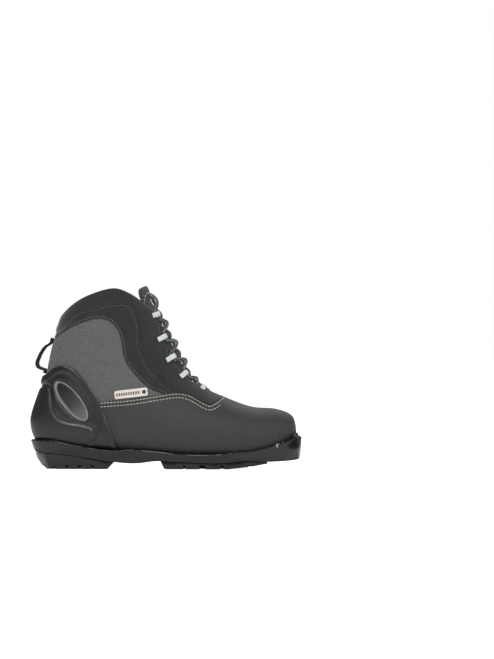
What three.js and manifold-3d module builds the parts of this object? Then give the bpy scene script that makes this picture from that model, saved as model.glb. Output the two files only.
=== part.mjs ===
// Cross-country ski touring boot, right foot. Millimetres, +Z up, toe at +X, outer (lateral) side at -Y.
// The origin is on the ground, under the middle of the boot.
//
// Every piece of the upper is a layer of one shape, the last: a loft from the toe to the collar whose
// sections turn with the foot, from upright at the toe to nearly level at the collar. A layer lies
// between two offsets from the last, and is cut to its outline as seen from the side.
import * as THREE from "three";
import { ParametricGeometry } from "three/addons/geometries/ParametricGeometry.js";
import { mergeVertices } from "three/addons/utils/BufferGeometryUtils.js";
import Module from "manifold-3d";

const wasm = await Module();
wasm.setup();

// ---------------------------------------------------------------- driving dimensions
const LENGTH = 300; // back of the heel counter to the toe lip
const TONGUE_HEIGHT = 198; // ground to the top of the tongue
const UPPER_WIDTH = 100; // across the ball of the upper
const GAP = 0.35; // between pieces that are glued, sewn or pressed together

const VAMP_WALL = 1.8;
const PANEL_WALL = 1.5; // woven ankle panels
const PANEL_RECESS = 0.4; // the panels lie this far under the vamp and the collar
const COLLAR_WALL = 2.2;
const COLLAR_RISE = 0.4; // the collar stands this far over the vamp
const PUFF_WALL = 1.0; // toe stiffener between vamp and lining
const LINING_WALL = 2.0;
const PADDING = 4.0; // foam round the ankle
const COUNTER_WALL = 2.4; // outer heel counter
const BADGE_WALL = 1.6;
const LABEL_WALL = 0.6;
const TONGUE_WALL = 6;
const CHASSIS_WALL = 4.4;
const CHASSIS_FLOOR = 2.8;
const FOOTBED_WALL = 5.5;
const SHANK_WALL = 1.5;
const SHANK_WIDTH = 20;

const LACE_DIAMETER = 3.4;
const TAPE_WALL = 0.8; // lace loops
const LOOP_WIDTH = 5.5; // along the lace
const PULL_WIDTH = 9;
const PULL_WALL = 1.5;
const TIP_LENGTH = 18; // plastic ends of the lace
const BAR_DIAMETER = 4;
const BAR_SPAN = 38;
const SLOT_SPAN = 30; // free length of the bar
const SLOT_LENGTH = 15;
const GROOVE_WIDTH = 7; // the two guide grooves under the sole
const GROOVE_SPACING = 32; // between their middles
const GROOVE_DEPTH = 4.5;

// Outlines are drawn for a boot 300 mm long and 198 mm high, and stretched to size.
// What lies under SOLE_TOP keeps its height when the boot gets taller.
const SOLE_TOP = 24;
const stretchX = LENGTH / 300;
const stretchZ = (TONGUE_HEIGHT - SOLE_TOP) / (198 - SOLE_TOP);
const stretchY = UPPER_WIDTH / 100;
const across = (x) => x * stretchX;
const up = (z) => (z < SOLE_TOP ? z : SOLE_TOP + (z - SOLE_TOP) * stretchZ);
const point = ([x, z]) => new THREE.Vector2(across(x), up(z));

// ---------------------------------------------------------------- the last
// Stations from the toe to over the collar. Each has its front point, on the ridge of the foot or the
// shin, and its back point, on the sole or the heel.
const FRONT = [[143.5, 38], [139, 57], [121, 65.2], [94, 67.8], [68, 77], [46, 88], [30, 100.5], [20, 118.5],
  [10.5, 137], [1, 156], [-9, 178], [-27, 212]].map(point);
const BACK = [[143.5, 38], [136, 24.5], [116, 17.5], [88, 13.6], [52, 12.4], [4, 13.8], [-58, 18],
  [-127, 23.5], [-146.5, 49], [-134.5, 94], [-124, 142], [-106, 202]].map(point);
// The chassis is a wider loft, drawn deep and then cut off along its underside.
const CHASSIS_BACK = [[149, 34], [144, 4], [118, 1], [88, 0], [52, 0], [6, 0], [-58, 0], [-131, 7],
  [-150.5, 42], [-139, 94], [-124, 142], [-106, 202]].map(point);
// At the widest place of the section.
const HALF_WIDTH = [24, 32, 42, 49, 50, 46, 42, 38.5, 37.5, 38.5, 41.5, 44];
// Of the section's middle, towards the inner side.
const SHIFT = [8, 7, 4, 1, -1, -2, -1, 0, 0, 0, 0, 0];
// Where the section is widest, as a share of the way from its back point to its front point.
const WIDEST = [0.5, 0.45, 0.4, 0.37, 0.36, 0.36, 0.4, 0.45, 0.5, 0.5, 0.5, 0.5];
// How square the section is in front and behind: 2 is an ellipse.
const FRONT_POWER = [2.1, 2.2, 2.3, 2.2, 2.0, 1.9, 1.95, 2.1, 2.2, 2.3, 2.4, 2.4];
const BACK_POWER = [2.1, 2.8, 4, 5, 5, 5, 4.4, 3.2, 2.5, 2.3, 2.2, 2.2];
const NOSE = 0.24; // share of the loft over which the toe rounds off
const HEEL_STATION = 0.64; // share of the loft where the sole turns up into the heel
const ROWS = 18;
const COLUMNS = 16;

const spline = (points) => new THREE.SplineCurve(points);
const scalar = (values) => {
  const curve = spline(values.map((value) => new THREE.Vector2(value, 0)));
  return (u) => curve.getPoint(u).x;
};
const front = spline(FRONT);
const back = spline(BACK);
const chassisBack = spline(CHASSIS_BACK);
const halfWidth = scalar(HALF_WIDTH);
const shift = scalar(SHIFT);
const widest = scalar(WIDEST);
const frontPower = scalar(FRONT_POWER);
const backPower = scalar(BACK_POWER);

// A point of the last's skin: u runs from the toe to over the collar, v once round from the outer side
// over the front.
function skin(u, v, line = back, wider = 0) {
  const tipFront = front.getPoint(u);
  const tipBack = line.getPoint(u);
  const middle = tipBack.clone().lerp(tipFront, widest(u));
  const cos = Math.cos(2 * Math.PI * v);
  const sin = Math.sin(2 * Math.PI * v);
  const power = 2 / (sin >= 0 ? frontPower(u) : backPower(u));
  const tip = sin >= 0 ? tipFront : tipBack;
  const nose = Math.sqrt(1 - (1 - Math.min(1, u / NOSE)) ** 2);
  const width = (halfWidth(u) * stretchY + wider) * nose;
  const side = middle.lerp(tip, Math.abs(sin) ** power);
  const y = shift(u) * stretchY - Math.sign(cos) * width * Math.abs(cos) ** power;
  return new THREE.Vector3(side.x, y, side.y);
}

const STEP = 1e-3;
function normal(u, v) {
  if (u < STEP) return new THREE.Vector3(1, 0, 0);
  const along = skin(Math.min(1, u + STEP), v).sub(skin(u - STEP, v));
  const round = skin(u, v + STEP).sub(skin(u, v - STEP));
  return round.cross(along).normalize();
}
const onSkin = (u, v, offset) => skin(u, v).addScaledVector(normal(u, v), offset);

// ---------------------------------------------------------------- solids
// A closed geometry as a manifold-3d solid: shared vertices merged, collapsed faces dropped.
function solid(geometry) {
  const bare = geometry.index ? geometry.toNonIndexed() : geometry.clone();
  bare.deleteAttribute("normal");
  bare.deleteAttribute("uv");
  const merged = mergeVertices(bare, 1e-3);
  const index = merged.index.array;
  const faces = [];
  for (let i = 0; i < index.length; i += 3) {
    const [a, b, c] = index.slice(i, i + 3);
    if (a !== b && b !== c && a !== c) faces.push(a, b, c);
  }
  const build = (triVerts) => new wasm.Manifold(new wasm.Mesh({
    numProp: 3, vertProperties: merged.attributes.position.array, triVerts: new Uint32Array(triVerts),
  }));
  const made = build(faces);
  return made.volume() > 0 ? made : build(faces.reverse());
}

// A closed solid from a function of (u, v), capped just above its last row.
const rowStation = (row) => (row / ROWS) ** 1.25;
function loft(surface) {
  return solid(new ParametricGeometry((v, t, target) => {
    const row = Math.round(t * (ROWS + 1));
    const u = rowStation(Math.min(row, ROWS));
    if (row <= ROWS) target.copy(surface(u, v % 1));
    else {
      const cap = FRONT.at(-1).clone().lerp(BACK.at(-1), 0.5);
      target.set(cap.x, 0, cap.y + 1);
    }
  }, COLUMNS, ROWS + 1));
}

// The last grown by an offset. It can go deeper from the heel up.
const grown = new Map();
function last(offset, deeper = 0) {
  const key = `${offset} ${deeper}`;
  if (!grown.has(key)) {
    grown.set(key, loft((u, v) => (
      onSkin(u, v, offset - deeper * THREE.MathUtils.smoothstep(u, HEEL_STATION - 0.02, 0.74)))));
  }
  return grown.get(key);
}
const layer = (inner, outer, deeperInner = 0, deeperOuter = 0) => (
  last(outer, deeperOuter).subtract(last(inner, deeperInner)));

// A point on the facets of the grown last.
function onFacets(u, v, offset) {
  const row = Math.min(Math.floor(u ** 0.8 * ROWS), ROWS - 1);
  const t = (u - rowStation(row)) / (rowStation(row + 1) - rowStation(row));
  const column = Math.floor(v * COLUMNS);
  const corner = (r, c) => onSkin(rowStation(r), c / COLUMNS, offset);
  const low = corner(row, column).lerp(corner(row, column + 1), v * COLUMNS - column);
  const high = corner(row + 1, column).lerp(corner(row + 1, column + 1), v * COLUMNS - column);
  return low.lerp(high, t);
}

// A prism across the boot from an outline seen from the side.
const FAR = 260;
function sidePrism(outline, yLow = -FAR, yHigh = FAR) {
  const settings = { depth: yHigh - yLow, bevelEnabled: false };
  const geometry = new THREE.ExtrudeGeometry(new THREE.Shape(outline), settings);
  return solid(geometry.rotateX(Math.PI / 2).translate(0, yHigh, 0));
}
// A prism straight up from an outline seen from above.
function planPrism(outline, zLow, zHigh) {
  const settings = { depth: zHigh - zLow, bevelEnabled: false };
  const geometry = new THREE.ExtrudeGeometry(new THREE.Shape(outline), settings);
  return solid(geometry.translate(0, 0, zLow));
}
function box(x0, x1, y0, y1, z0, z1) {
  return solid(new THREE.BoxGeometry(x1 - x0, y1 - y0, z1 - z0)
    .translate((x0 + x1) / 2, (y0 + y1) / 2, (z0 + z1) / 2));
}
const curvePoints = (pairs, count) => spline(pairs.map(point)).getPoints(count);
// A line that runs towards the toe, moved up square to itself.
const moved = (points, distance) => points.map((p, i) => {
  const way = points[Math.min(i + 1, points.length - 1)].clone().sub(points[Math.max(i - 1, 0)]).normalize();
  return new THREE.Vector2(p.x - way.y * distance, p.y + way.x * distance);
});
const closedTo = (points, z) => [
  ...points, new THREE.Vector2(points.at(-1).x, z), new THREE.Vector2(points[0].x, z)];
const under = (points) => sidePrism(closedTo(points, -60));
const over = (points) => sidePrism(closedTo(points, 330));
const outerSide = box(-FAR, FAR, -FAR, -0.2, -FAR, FAR);
const innerSide = box(-FAR, FAR, 0.2, FAR, -FAR, FAR);

// ---------------------------------------------------------------- outlines seen from the side
// Top edge of the vamp: from under the heel counter along the double seam, through the notch, over the ridge.
const VAMP_EDGE = [
  ...curvePoints([[-175, 64], [-120, 68], [-74, 73], [-39.5, 76], [-9, 80.6], [12, 83.4], [26, 81],
    [38, 74.6]], 16),
  ...curvePoints([[38, 74.6], [43.5, 71.5], [48.5, 70], [53, 72], [65, 80.5], [76, 90],
    [190, 95]], 9).slice(1),
];
// Border between the ankle panel and the collar, from the heel to where it runs into the seam.
const PANEL_EDGE = curvePoints([[-170, 120], [-123.5, 144], [-102, 156.6], [-75, 165.2], [-58, 160],
  [-49, 145], [-45.6, 125], [-39, 111], [-20, 90.5], [-1, 81.8], [20, 70]], 20);
// Top edge of the collar, from behind the heel past its front corner at the lacing.
const COLLAR_TOP = curvePoints([[-170, 100], [-124, 149.5], [-115, 167], [-97, 183], [-76, 192.6],
  [-56, 197], [-42, 192.5], [-30, 185], [-18, 176.5], [10, 160], [90, 130]], 22);
// Rim of the chassis, from behind the heel to the toe lip.
const RIM = curvePoints([[-165, 30], [-129, 31.5], [-99, 25.5], [-60, 20], [-38, 21.4], [-10, 19.2], [24, 16],
  [64, 16.8], [105, 23.5], [131, 30.5], [143, 37.5], [160, 46]], 20);
// Underside of the chassis.
const UNDERSIDE = curvePoints([[-165, 20], [-136, 18], [-95, 13.8], [-58, 8], [-33, 6.4], [-7, 9], [37, 7],
  [62, 7], [90, 9.5], [114, 8], [144, 10], [165, 16]], 20);
// Front edge of the heel counter, from its top at the back down into the chassis.
const COUNTER_EDGE = curvePoints([[-165, 88], [-133, 100.5], [-122, 109], [-113, 112], [-103, 109.8],
  [-92, 100], [-80, 81.5], [-72, 69], [-63, 48], [-52.5, 19], [-49, 8]], 18);

// Everything under the sole line of the last raised by some height.
function underfoot(rise) {
  const line = [];
  for (let i = 16; i >= 0; i--) line.push(back.getPoint((HEEL_STATION * i) / 16));
  const raised = line.map((p) => new THREE.Vector2(p.x, p.y + rise));
  raised.unshift(new THREE.Vector2(-FAR, raised[0].y));
  raised.push(new THREE.Vector2(FAR, raised.at(-1).y + 30));
  return under(raised);
}

// ---------------------------------------------------------------- the opening over the instep
// Measured along the shin from the throat, and across the boot, then cut square to the shin.
const THROAT = point([62, 77]);
const SHIN_TOP = point([-24.8, 197.7]);
const shin = SHIN_TOP.clone().sub(THROAT);
const SHIN = shin.length();
const shinAngle = Math.atan2(shin.y, shin.x);
function shinPrism(halfWidths, start, end, outside, inside, round) {
  const side = spline(halfWidths.map((w, i) => (
    new THREE.Vector2(start + ((end - start) * i) / (halfWidths.length - 1), w * stretchY)))).getPoints(7);
  const ring = [...side, ...side.map((p) => new THREE.Vector2(p.x, -p.y)).reverse()];
  for (let i = 5; i > 0; i--) {
    const a = (Math.PI * i) / 6;
    ring.push(new THREE.Vector2(start - round * Math.sin(a), side[0].y * Math.cos(a)));
  }
  const settings = { depth: outside + inside, bevelEnabled: false };
  const geometry = new THREE.ExtrudeGeometry(new THREE.Shape(ring), settings);
  // The outline's x runs up the shin, its y across the boot, and its depth away from the foot.
  const away = new THREE.Vector3(Math.sin(shinAngle), 0, -Math.cos(shinAngle));
  const basis = new THREE.Matrix4().makeBasis(
    new THREE.Vector3(Math.cos(shinAngle), 0, Math.sin(shinAngle)), new THREE.Vector3(0, -1, 0), away);
  geometry.translate(0, 0, -inside).applyMatrix4(basis).translate(THROAT.x, 0, THROAT.y);
  return solid(geometry);
}
const LACING_HALF_WIDTH = [13, 18, 21.5, 22, 22, 22];
const TONGUE_HALF_WIDTH = [15, 19, 22.4, 23.4, 23.9, 24.2];
const LACE_ROOM = LACE_DIAMETER + 3 * GAP; // beside the tongue, where the ends of the lace are tucked in
const lacingGap = shinPrism(LACING_HALF_WIDTH, 6, SHIN + 60, 34, 70, 9);
const TONGUE_START = -6;
const tongueStep = (SHIN - TONGUE_START) / (TONGUE_HALF_WIDTH.length - 1);
const bayHalfWidth = [...TONGUE_HALF_WIDTH, TONGUE_HALF_WIDTH.at(-1)].map((w) => w + LACE_ROOM / stretchY);
const tongueBay = shinPrism(bayHalfWidth, TONGUE_START, SHIN + tongueStep, 30, 56, 12);

// ---------------------------------------------------------------- materials and the group
const material = (color, roughness, metalness = 0) => (
  new THREE.MeshStandardMaterial({ color, roughness, metalness }));
const softLeather = material("#33332f", 0.75);
const wovenGrey = material("#5a5a58", 0.9);
const felt = material("#2a2a27", 0.95);
const glossBlack = material("#14171a", 0.25);
const counterPlastic = material("#2b2c2a", 0.4);
const steel = material("#b9bcc0", 0.3, 1);
const fibreboard = material("#8a7a62", 0.9);
const foam = material("#4a4a4a", 0.95);
const whiteTape = material("#e9ece8", 0.7);
const blackTape = material("#1c1c1c", 0.8);
const laceWeave = material("#2f2f2f", 0.8);
const badgeGrey = material("#7b7d7d", 0.35);
const stiffSheet = material("#202020", 0.5);

const boot = new THREE.Group();
boot.name = "ski_boot";
function add(name, body, look) {
  const mesh = body.getMesh();
  const geometry = new THREE.BufferGeometry();
  geometry.setAttribute("position", new THREE.BufferAttribute(new Float32Array(mesh.vertProperties), 3));
  geometry.setIndex(new THREE.BufferAttribute(new Uint32Array(mesh.triVerts), 1));
  geometry.computeVertexNormals();
  const made = new THREE.Mesh(geometry, look);
  made.name = name;
  boot.add(made);
}
// The main body of a cut, without the chips that a cut along a curved wall leaves.
const largest = (body) => body.decompose().sort((a, b) => b.volume() - a.volume())[0];

// ---------------------------------------------------------------- upper
const VAMP_INNER = -VAMP_WALL;
const PUFF_OUTER = VAMP_INNER - GAP;
const LINING_OUTER = PUFF_OUTER - PUFF_WALL - GAP;
const LINING_INNER = LINING_OUTER - LINING_WALL;
const COLLAR_INNER = COLLAR_RISE - COLLAR_WALL;
const COUNTER_INNER = COLLAR_RISE + GAP;
const COUNTER_OUTER = COUNTER_INNER + COUNTER_WALL;

// The board closes the vamp under the foot.
const BOARD_OUTLINE = [[112, 4], [100, 22], [62, 26], [0, 21], [-60, 19], [-108, 16], [-118, 0], [-108, -16],
  [-60, -20], [0, -23], [62, -25], [98, -18]];
const ring = (pairs, grow) => {
  const closed = [...pairs, pairs[0]].map(([x, y]) => (
    new THREE.Vector2(across(x) + Math.sign(x - 20) * grow, y * stretchY + Math.sign(y) * grow)));
  return spline(closed).getPoints(28).slice(0, -1);
};
const BOARD_TOP = -LINING_OUTER - GAP;
const boardZone = planPrism(ring(BOARD_OUTLINE, 0), -20, 60).intersect(underfoot(BOARD_TOP));
add("lasting_board", largest(last(0).intersect(boardZone)), fibreboard);
add("vamp", largest(layer(VAMP_INNER, 0).intersect(under(VAMP_EDGE))
  .subtract(planPrism(ring(BOARD_OUTLINE, GAP), -20, 30))), softLeather);
const toeZone = box(across(92), FAR, -FAR, FAR, -20, 200);
const toeCap = layer(PUFF_OUTER - PUFF_WALL, PUFF_OUTER).intersect(toeZone).subtract(underfoot(9));
add("toe_puff", largest(toeCap), stiffSheet);

const overVamp = over(moved(VAMP_EDGE, GAP));
const panels = layer(-PANEL_RECESS - PANEL_WALL, -PANEL_RECESS)
  .intersect(overVamp).intersect(under(moved(PANEL_EDGE, -GAP / 2))).intersect(under(COLLAR_TOP));
const collar = layer(COLLAR_INNER, COLLAR_RISE).intersect(overVamp).intersect(under(COLLAR_TOP))
  .subtract(under(moved(PANEL_EDGE, GAP / 2))).subtract(lacingGap);
for (const [side, half] of [["lateral", outerSide], ["medial", innerSide]]) {
  add(`ankle_panel_${side}`, largest(panels.intersect(half)), wovenGrey);
  add(`collar_${side}`, largest(collar.intersect(half)), felt);
}

const lowerTop = under(moved(COLLAR_TOP, -1.5));
const sock = layer(LINING_INNER, LINING_OUTER, PADDING, PADDING);
add("lining", largest(sock.intersect(lowerTop).subtract(tongueBay)), foam);
const overAnkle = over([[-170, 40], [-112, 58], [-62, 92], [20, 116]].map(point));
add("collar_padding", largest(layer(LINING_OUTER + GAP, COLLAR_INNER - GAP, PADDING, 0)
  .intersect(overAnkle).intersect(lowerTop).subtract(tongueBay)), foam);

const TONGUE_OUTER = COLLAR_INNER - TAPE_WALL - 5 * GAP; // room for the lace loops under the collar
const tongueZone = shinPrism(TONGUE_HALF_WIDTH, TONGUE_START, SHIN, 26, 50, 6);
add("tongue", largest(layer(TONGUE_OUTER - TONGUE_WALL, TONGUE_OUTER).intersect(tongueZone)), wovenGrey);

const FOOTBED_OFFSET = LINING_INNER - GAP - 0.5;
const footbedZone = underfoot(FOOTBED_WALL - FOOTBED_OFFSET);
add("footbed", largest(last(FOOTBED_OFFSET, PADDING).intersect(footbedZone)), foam);

// ---------------------------------------------------------------- heel counter, badge and label
const [BADGE_X, BADGE_Z] = [-102.5, 73.9];
const BADGE_LONG = 26;
const BADGE_SHORT = 9.7;
const BADGE_TILT = THREE.MathUtils.degToRad(-52);
function badgeZone(grow) {
  const centre = point([BADGE_X, BADGE_Z]);
  const oval = new THREE.EllipseCurve(centre.x, centre.y, BADGE_LONG + grow, BADGE_SHORT + grow,
    0, 2 * Math.PI, false, BADGE_TILT);
  return sidePrism(oval.getPoints(20).slice(0, -1), -FAR, 0);
}
const badgeFloor = COUNTER_OUTER - BADGE_WALL + 0.5;
const badgePocket = layer(badgeFloor - GAP, COUNTER_OUTER + 4).intersect(badgeZone(GAP));
add("heel_counter", largest(layer(COUNTER_INNER, COUNTER_OUTER).intersect(under(COUNTER_EDGE))
  .intersect(over(moved(RIM, GAP))).subtract(badgePocket)), counterPlastic);
const badgeLayer = layer(badgeFloor, badgeFloor + BADGE_WALL);
add("counter_badge", largest(badgeLayer.intersect(badgeZone(0))), badgeGrey);

const LABEL = [[-56.6, 85], [-20.8, 89.2], [-19.6, 80.4], [-55.4, 76.3]].map(point);
const LABEL_INNER = GAP - PANEL_RECESS;
const labelLayer = layer(LABEL_INNER, LABEL_INNER + LABEL_WALL);
add("side_label", largest(labelLayer.intersect(sidePrism(LABEL, -FAR, 0))), whiteTape);

// ---------------------------------------------------------------- bands and cords
// Outline of a band of even thickness along a side-view curve.
function band(pairs, thickness, count) {
  const curve = spline(pairs);
  const edges = [[], []];
  for (let i = 0; i <= count; i++) {
    const at = curve.getPoint(i / count);
    const way = curve.getTangent(i / count);
    for (const [k, sign] of [[0, 0.5], [1, -0.5]]) {
      edges[k].push(new THREE.Vector2(at.x - way.y * thickness * sign, at.y + way.x * thickness * sign));
    }
  }
  return [...edges[0], ...edges[1].reverse()];
}
// A round cord along a curve in space.
function cord(curve, diameter, steps, sides) {
  const circle = new THREE.EllipseCurve(0, 0, diameter / 2, diameter / 2).getPoints(sides).slice(0, -1);
  return solid(new THREE.ExtrudeGeometry(new THREE.Shape(circle), { steps, extrudePath: curve }));
}

// Pull loop: sewn to the back of the heel at both ends.
const heelAt = (z) => {
  let [low, high] = [0.7, 1];
  for (let i = 0; i < 30; i++) {
    const u = (low + high) / 2;
    if (back.getPoint(u).y < up(z)) low = u; else high = u;
  }
  return back.getPoint(low).x;
};
const pullStand = COLLAR_RISE + GAP + PULL_WALL / 2;
const PULL = [[heelAt(144) - pullStand, 144], [heelAt(139.5) - pullStand, 139.5], [across(-131), 138.5],
  [across(-135.5), 133], [across(-139.5), 125], [across(-142), 117.5], [across(-141.8), 112.5],
  [across(-138.5), 110], [heelAt(108) - pullStand, 108], [heelAt(103.5) - pullStand, 104],
].map(([x, z]) => new THREE.Vector2(x, up(z)));
add("pull_loop", sidePrism(band(PULL, PULL_WALL, 18), -PULL_WIDTH / 2, PULL_WIDTH / 2), blackTape);

// Frame on the skin at a station u where the boot is a given width across: the point, the way up the
// shin, the way across to the middle, and the way out.
const shinPlace = (p) => (p.x - THROAT.x) * Math.cos(shinAngle) + (p.z - THROAT.y) * Math.sin(shinAngle);
function edgeFrame(u, side, widthAt, offset = 0) {
  const at = (v) => onFacets(u, side < 0 ? v : 0.5 - v, offset);
  let [low, high] = [0.02, 0.25];
  for (let i = 0; i < 24; i++) {
    const v = (low + high) / 2;
    const p = at(v);
    if (Math.abs(p.y) > widthAt(shinPlace(p))) low = v; else high = v;
  }
  const v = side < 0 ? low : 0.5 - low;
  const out = normal(u, v);
  const inward = skin(u, v - side * STEP).sub(skin(u, v));
  inward.addScaledVector(out, -inward.dot(out)).normalize();
  const along = new THREE.Vector3().crossVectors(inward, out).multiplyScalar(side);
  return { origin: at(low), along, inward, out };
}
const place = (frame, along, inward, out) => frame.origin.clone().addScaledVector(frame.along, along)
  .addScaledVector(frame.inward, inward).addScaledVector(frame.out, out);
const within = (widths, start, end) => {
  const width = scalar(widths);
  return (s) => width(THREE.MathUtils.clamp((s - start) / (end - start), 0, 1)) * stretchY;
};
const lacingWidth = within(LACING_HALF_WIDTH, 6, SHIN + 60);
const tongueWidth = within(TONGUE_HALF_WIDTH, TONGUE_START, SHIN);

// Lace loops: a hairpin of tape over the collar's edge, in the plane across the lace.
const LOOP_STATIONS = [0.475, 0.585, 0.682, 0.783, 0.884];
// The middle of the lace in a loop: over the last, and in from the collar's edge.
const LACE_HEIGHT = COLLAR_INNER - 2 * GAP + 0.3 + LACE_DIAMETER / 2;
const LACE_INSET = LACE_DIAMETER / 2 + 2.6;
const tapeLow = COLLAR_INNER - 2.8 * GAP - TAPE_WALL / 2;
const tapeHigh = LACE_HEIGHT + LACE_DIAMETER / 2 + 0.7 + TAPE_WALL / 2;
const tapeOnCollar = COLLAR_RISE + 3.6 * GAP + TAPE_WALL / 2;
const tapeEnd = LACE_INSET + LACE_DIAMETER / 2 + 1.6 + TAPE_WALL / 2;
const HAIRPIN = [[-3.2, tapeOnCollar + 0.6], [-0.5, tapeOnCollar + 0.1], [LACE_INSET - 0.8, tapeHigh],
  [tapeEnd - 0.9, tapeHigh - 0.9], [tapeEnd, (tapeLow + tapeHigh) / 2], [tapeEnd - 0.9, tapeLow + 0.7],
  [LACE_INSET - 0.8, tapeLow], [-3, tapeLow]];
function laceLoop(frame) {
  const hairpin = HAIRPIN.map(([t, n]) => new THREE.Vector2(t, n));
  const shape = new THREE.Shape(band(hairpin, TAPE_WALL, 12));
  const geometry = new THREE.ExtrudeGeometry(shape, { depth: LOOP_WIDTH, bevelEnabled: false });
  geometry.translate(0, 0, -LOOP_WIDTH / 2);
  geometry.applyMatrix4(new THREE.Matrix4().makeBasis(frame.inward, frame.out, frame.along));
  return solid(geometry.translate(frame.origin.x, frame.origin.y, frame.origin.z));
}
for (const [side, name] of [[-1, "lateral"], [1, "medial"]]) {
  LOOP_STATIONS.forEach((u, i) => {
    add(`lace_loop_${name}_${i + 1}`, laceLoop(edgeFrame(u, side, lacingWidth)), whiteTape);
  });
}

// The lace: a bar across the throat, then two halves that run up through the loops, cross on the tongue
// between them and once more at the top, and are tucked down beside the tongue.
const LACE_LOW = TONGUE_OUTER + 1.6 * GAP + LACE_DIAMETER / 2; // middle of the lace where it lies on the tongue
const LACE_OVER = LACE_LOW + LACE_DIAMETER + GAP; // where it lies on its other half
const TOP_CROSSING = 0.926;
const TAIL_STATIONS = [0.912, 0.87, 0.825, 0.78, 0.735];
const TAIL_DEPTH = COLLAR_INNER - GAP - LACE_DIAMETER / 2 - 1;
function laceHalf(firstSide) {
  const points = [];
  let side = firstSide;
  LOOP_STATIONS.forEach((u, i) => {
    const frame = edgeFrame(u, side, lacingWidth);
    for (const step of [-1, 0, 1]) {
      points.push(place(frame, step * (LOOP_WIDTH / 2 + 1.2), LACE_INSET, LACE_HEIGHT));
    }
    const crossing = i + 1 < LOOP_STATIONS.length ? (u + LOOP_STATIONS[i + 1]) / 2 : TOP_CROSSING;
    const offset = (firstSide < 0) === (i % 2 === 0) ? LACE_OVER : LACE_LOW;
    const beside = Math.max((offset + LACE_HEIGHT) / 2, LACE_LOW + 0.6);
    for (const step of [1, 0, -1]) {
      const away = Math.abs(step);
      const station = crossing - (step * (crossing - u)) / 3;
      points.push(onFacets(station, 0.25 + side * step * 0.034, away ? beside : offset));
    }
    side = -side;
  });
  const beside = (s) => tongueWidth(s) + GAP + LACE_DIAMETER / 2;
  points.push(place(edgeFrame(0.946, side, beside), 0, 2.4, -0.6));
  for (const u of TAIL_STATIONS) points.push(edgeFrame(u, side, beside, TAIL_DEPTH).origin);
  return points;
}
const lacePoints = [...laceHalf(1).reverse(), onFacets(0.445, 0.25, LACE_LOW), ...laceHalf(-1)];
const lacePath = new THREE.CatmullRomCurve3(lacePoints, false, "centripetal");
add("lace", cord(lacePath, LACE_DIAMETER, 120, 6), laceWeave);
for (const [name, t] of [["lateral", 0], ["medial", 1]]) {
  const way = lacePath.getTangent(t).multiplyScalar(t ? 1 : -1);
  const start = lacePath.getPoint(t).addScaledVector(way, GAP);
  const tip = new THREE.LineCurve3(start, start.clone().addScaledVector(way, TIP_LENGTH));
  add(`lace_tip_${name}`, cord(tip, LACE_DIAMETER - 0.4, 1, 8), stiffSheet);
}

// ---------------------------------------------------------------- sole
const cup = loft((u, v) => skin(u, v, chassisBack, CHASSIS_WALL));
const MIDSOLE_OUTLINE = [[96, 3], [86, 26], [52, 32], [0, 27], [-60, 24], [-104, 22], [-124, 0], [-104, -22],
  [-60, -25], [0, -30], [52, -33], [84, -22]];
const floorLine = moved(UNDERSIDE, CHASSIS_FLOOR);
const shankSide = SHANK_WIDTH / 2;
const shankBox = (grow) => (
  box(across(-88) - grow, across(18) + grow, -shankSide - grow, shankSide + grow, 0, 60));
const shankTop = -2 * GAP;
const pocket = planPrism(ring(MIDSOLE_OUTLINE, GAP), -20, 60).intersect(over(floorLine));
const barX = across(131);
const barZ = 12.2;
const alongY = (radius, span) => (
  solid(new THREE.CylinderGeometry(radius, radius, span, 16).translate(barX, 0, barZ)));
const slot = box(barX - SLOT_LENGTH / 2, barX + SLOT_LENGTH / 2, -SLOT_SPAN / 2, SLOT_SPAN / 2,
  -5, barZ + BAR_DIAMETER / 2 + 3.5);
const seat = alongY(BAR_DIAMETER / 2 + GAP, BAR_SPAN + 2 * GAP);
add("sole_chassis", largest(cup.intersect(over(UNDERSIDE)).intersect(under(RIM)).subtract(last(GAP))
  .subtract(pocket).subtract(slot).subtract(seat)), glossBlack);
add("toe_bar", alongY(BAR_DIAMETER / 2, BAR_SPAN), steel);
const shankRoom = shankBox(GAP).subtract(underfoot(shankTop - SHANK_WALL - GAP));
const midsole = planPrism(ring(MIDSOLE_OUTLINE, 0), -20, 60).intersect(over(moved(floorLine, GAP)))
  .intersect(underfoot(0));
add("midsole_filler", largest(midsole.subtract(last(GAP)).subtract(shankRoom)), foam);
const shankLayer = underfoot(shankTop).subtract(underfoot(shankTop - SHANK_WALL));
add("shank", largest(shankBox(0).intersect(shankLayer)), stiffSheet);

// Treads: blocks under the chassis, notched from the side and grooved lengthwise.
const grooves = [-1, 1].map((side) => {
  const y = (side * GROOVE_SPACING) / 2;
  return box(-FAR, FAR, y - GROOVE_WIDTH / 2, y + GROOVE_WIDTH / 2, -5, GROOVE_DEPTH);
});
function tread(plan, sideOutline, notches) {
  let body = planPrism(plan, -5, 60).intersect(sidePrism(sideOutline.map(point)));
  body = body.intersect(under(moved(UNDERSIDE, -GAP)));
  for (const groove of grooves) body = body.subtract(groove);
  for (const [x, width] of notches) {
    for (const side of [-1, 1]) {
      const y = [side * (GROOVE_SPACING / 2 + GROOVE_WIDTH / 2 + 4), side * FAR].sort((a, b) => a - b);
      body = body.subtract(box(across(x) - width / 2, across(x) + width / 2, ...y, -5, GROOVE_DEPTH));
    }
  }
  return largest(body);
}
const plan = (...sides) => sides.flatMap((side, i) => {
  const edge = spline(side.map(([x, y]) => new THREE.Vector2(across(x), y * stretchY))).getPoints(8);
  return i ? edge.reverse() : edge;
});
const HEEL_PLAN = plan([[-56, 38], [-80, 38], [-104, 36.5], [-128, 27], [-138, 2]],
  [[-56, -38], [-80, -38], [-104, -36.5], [-128, -27], [-138, -2]]);
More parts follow.
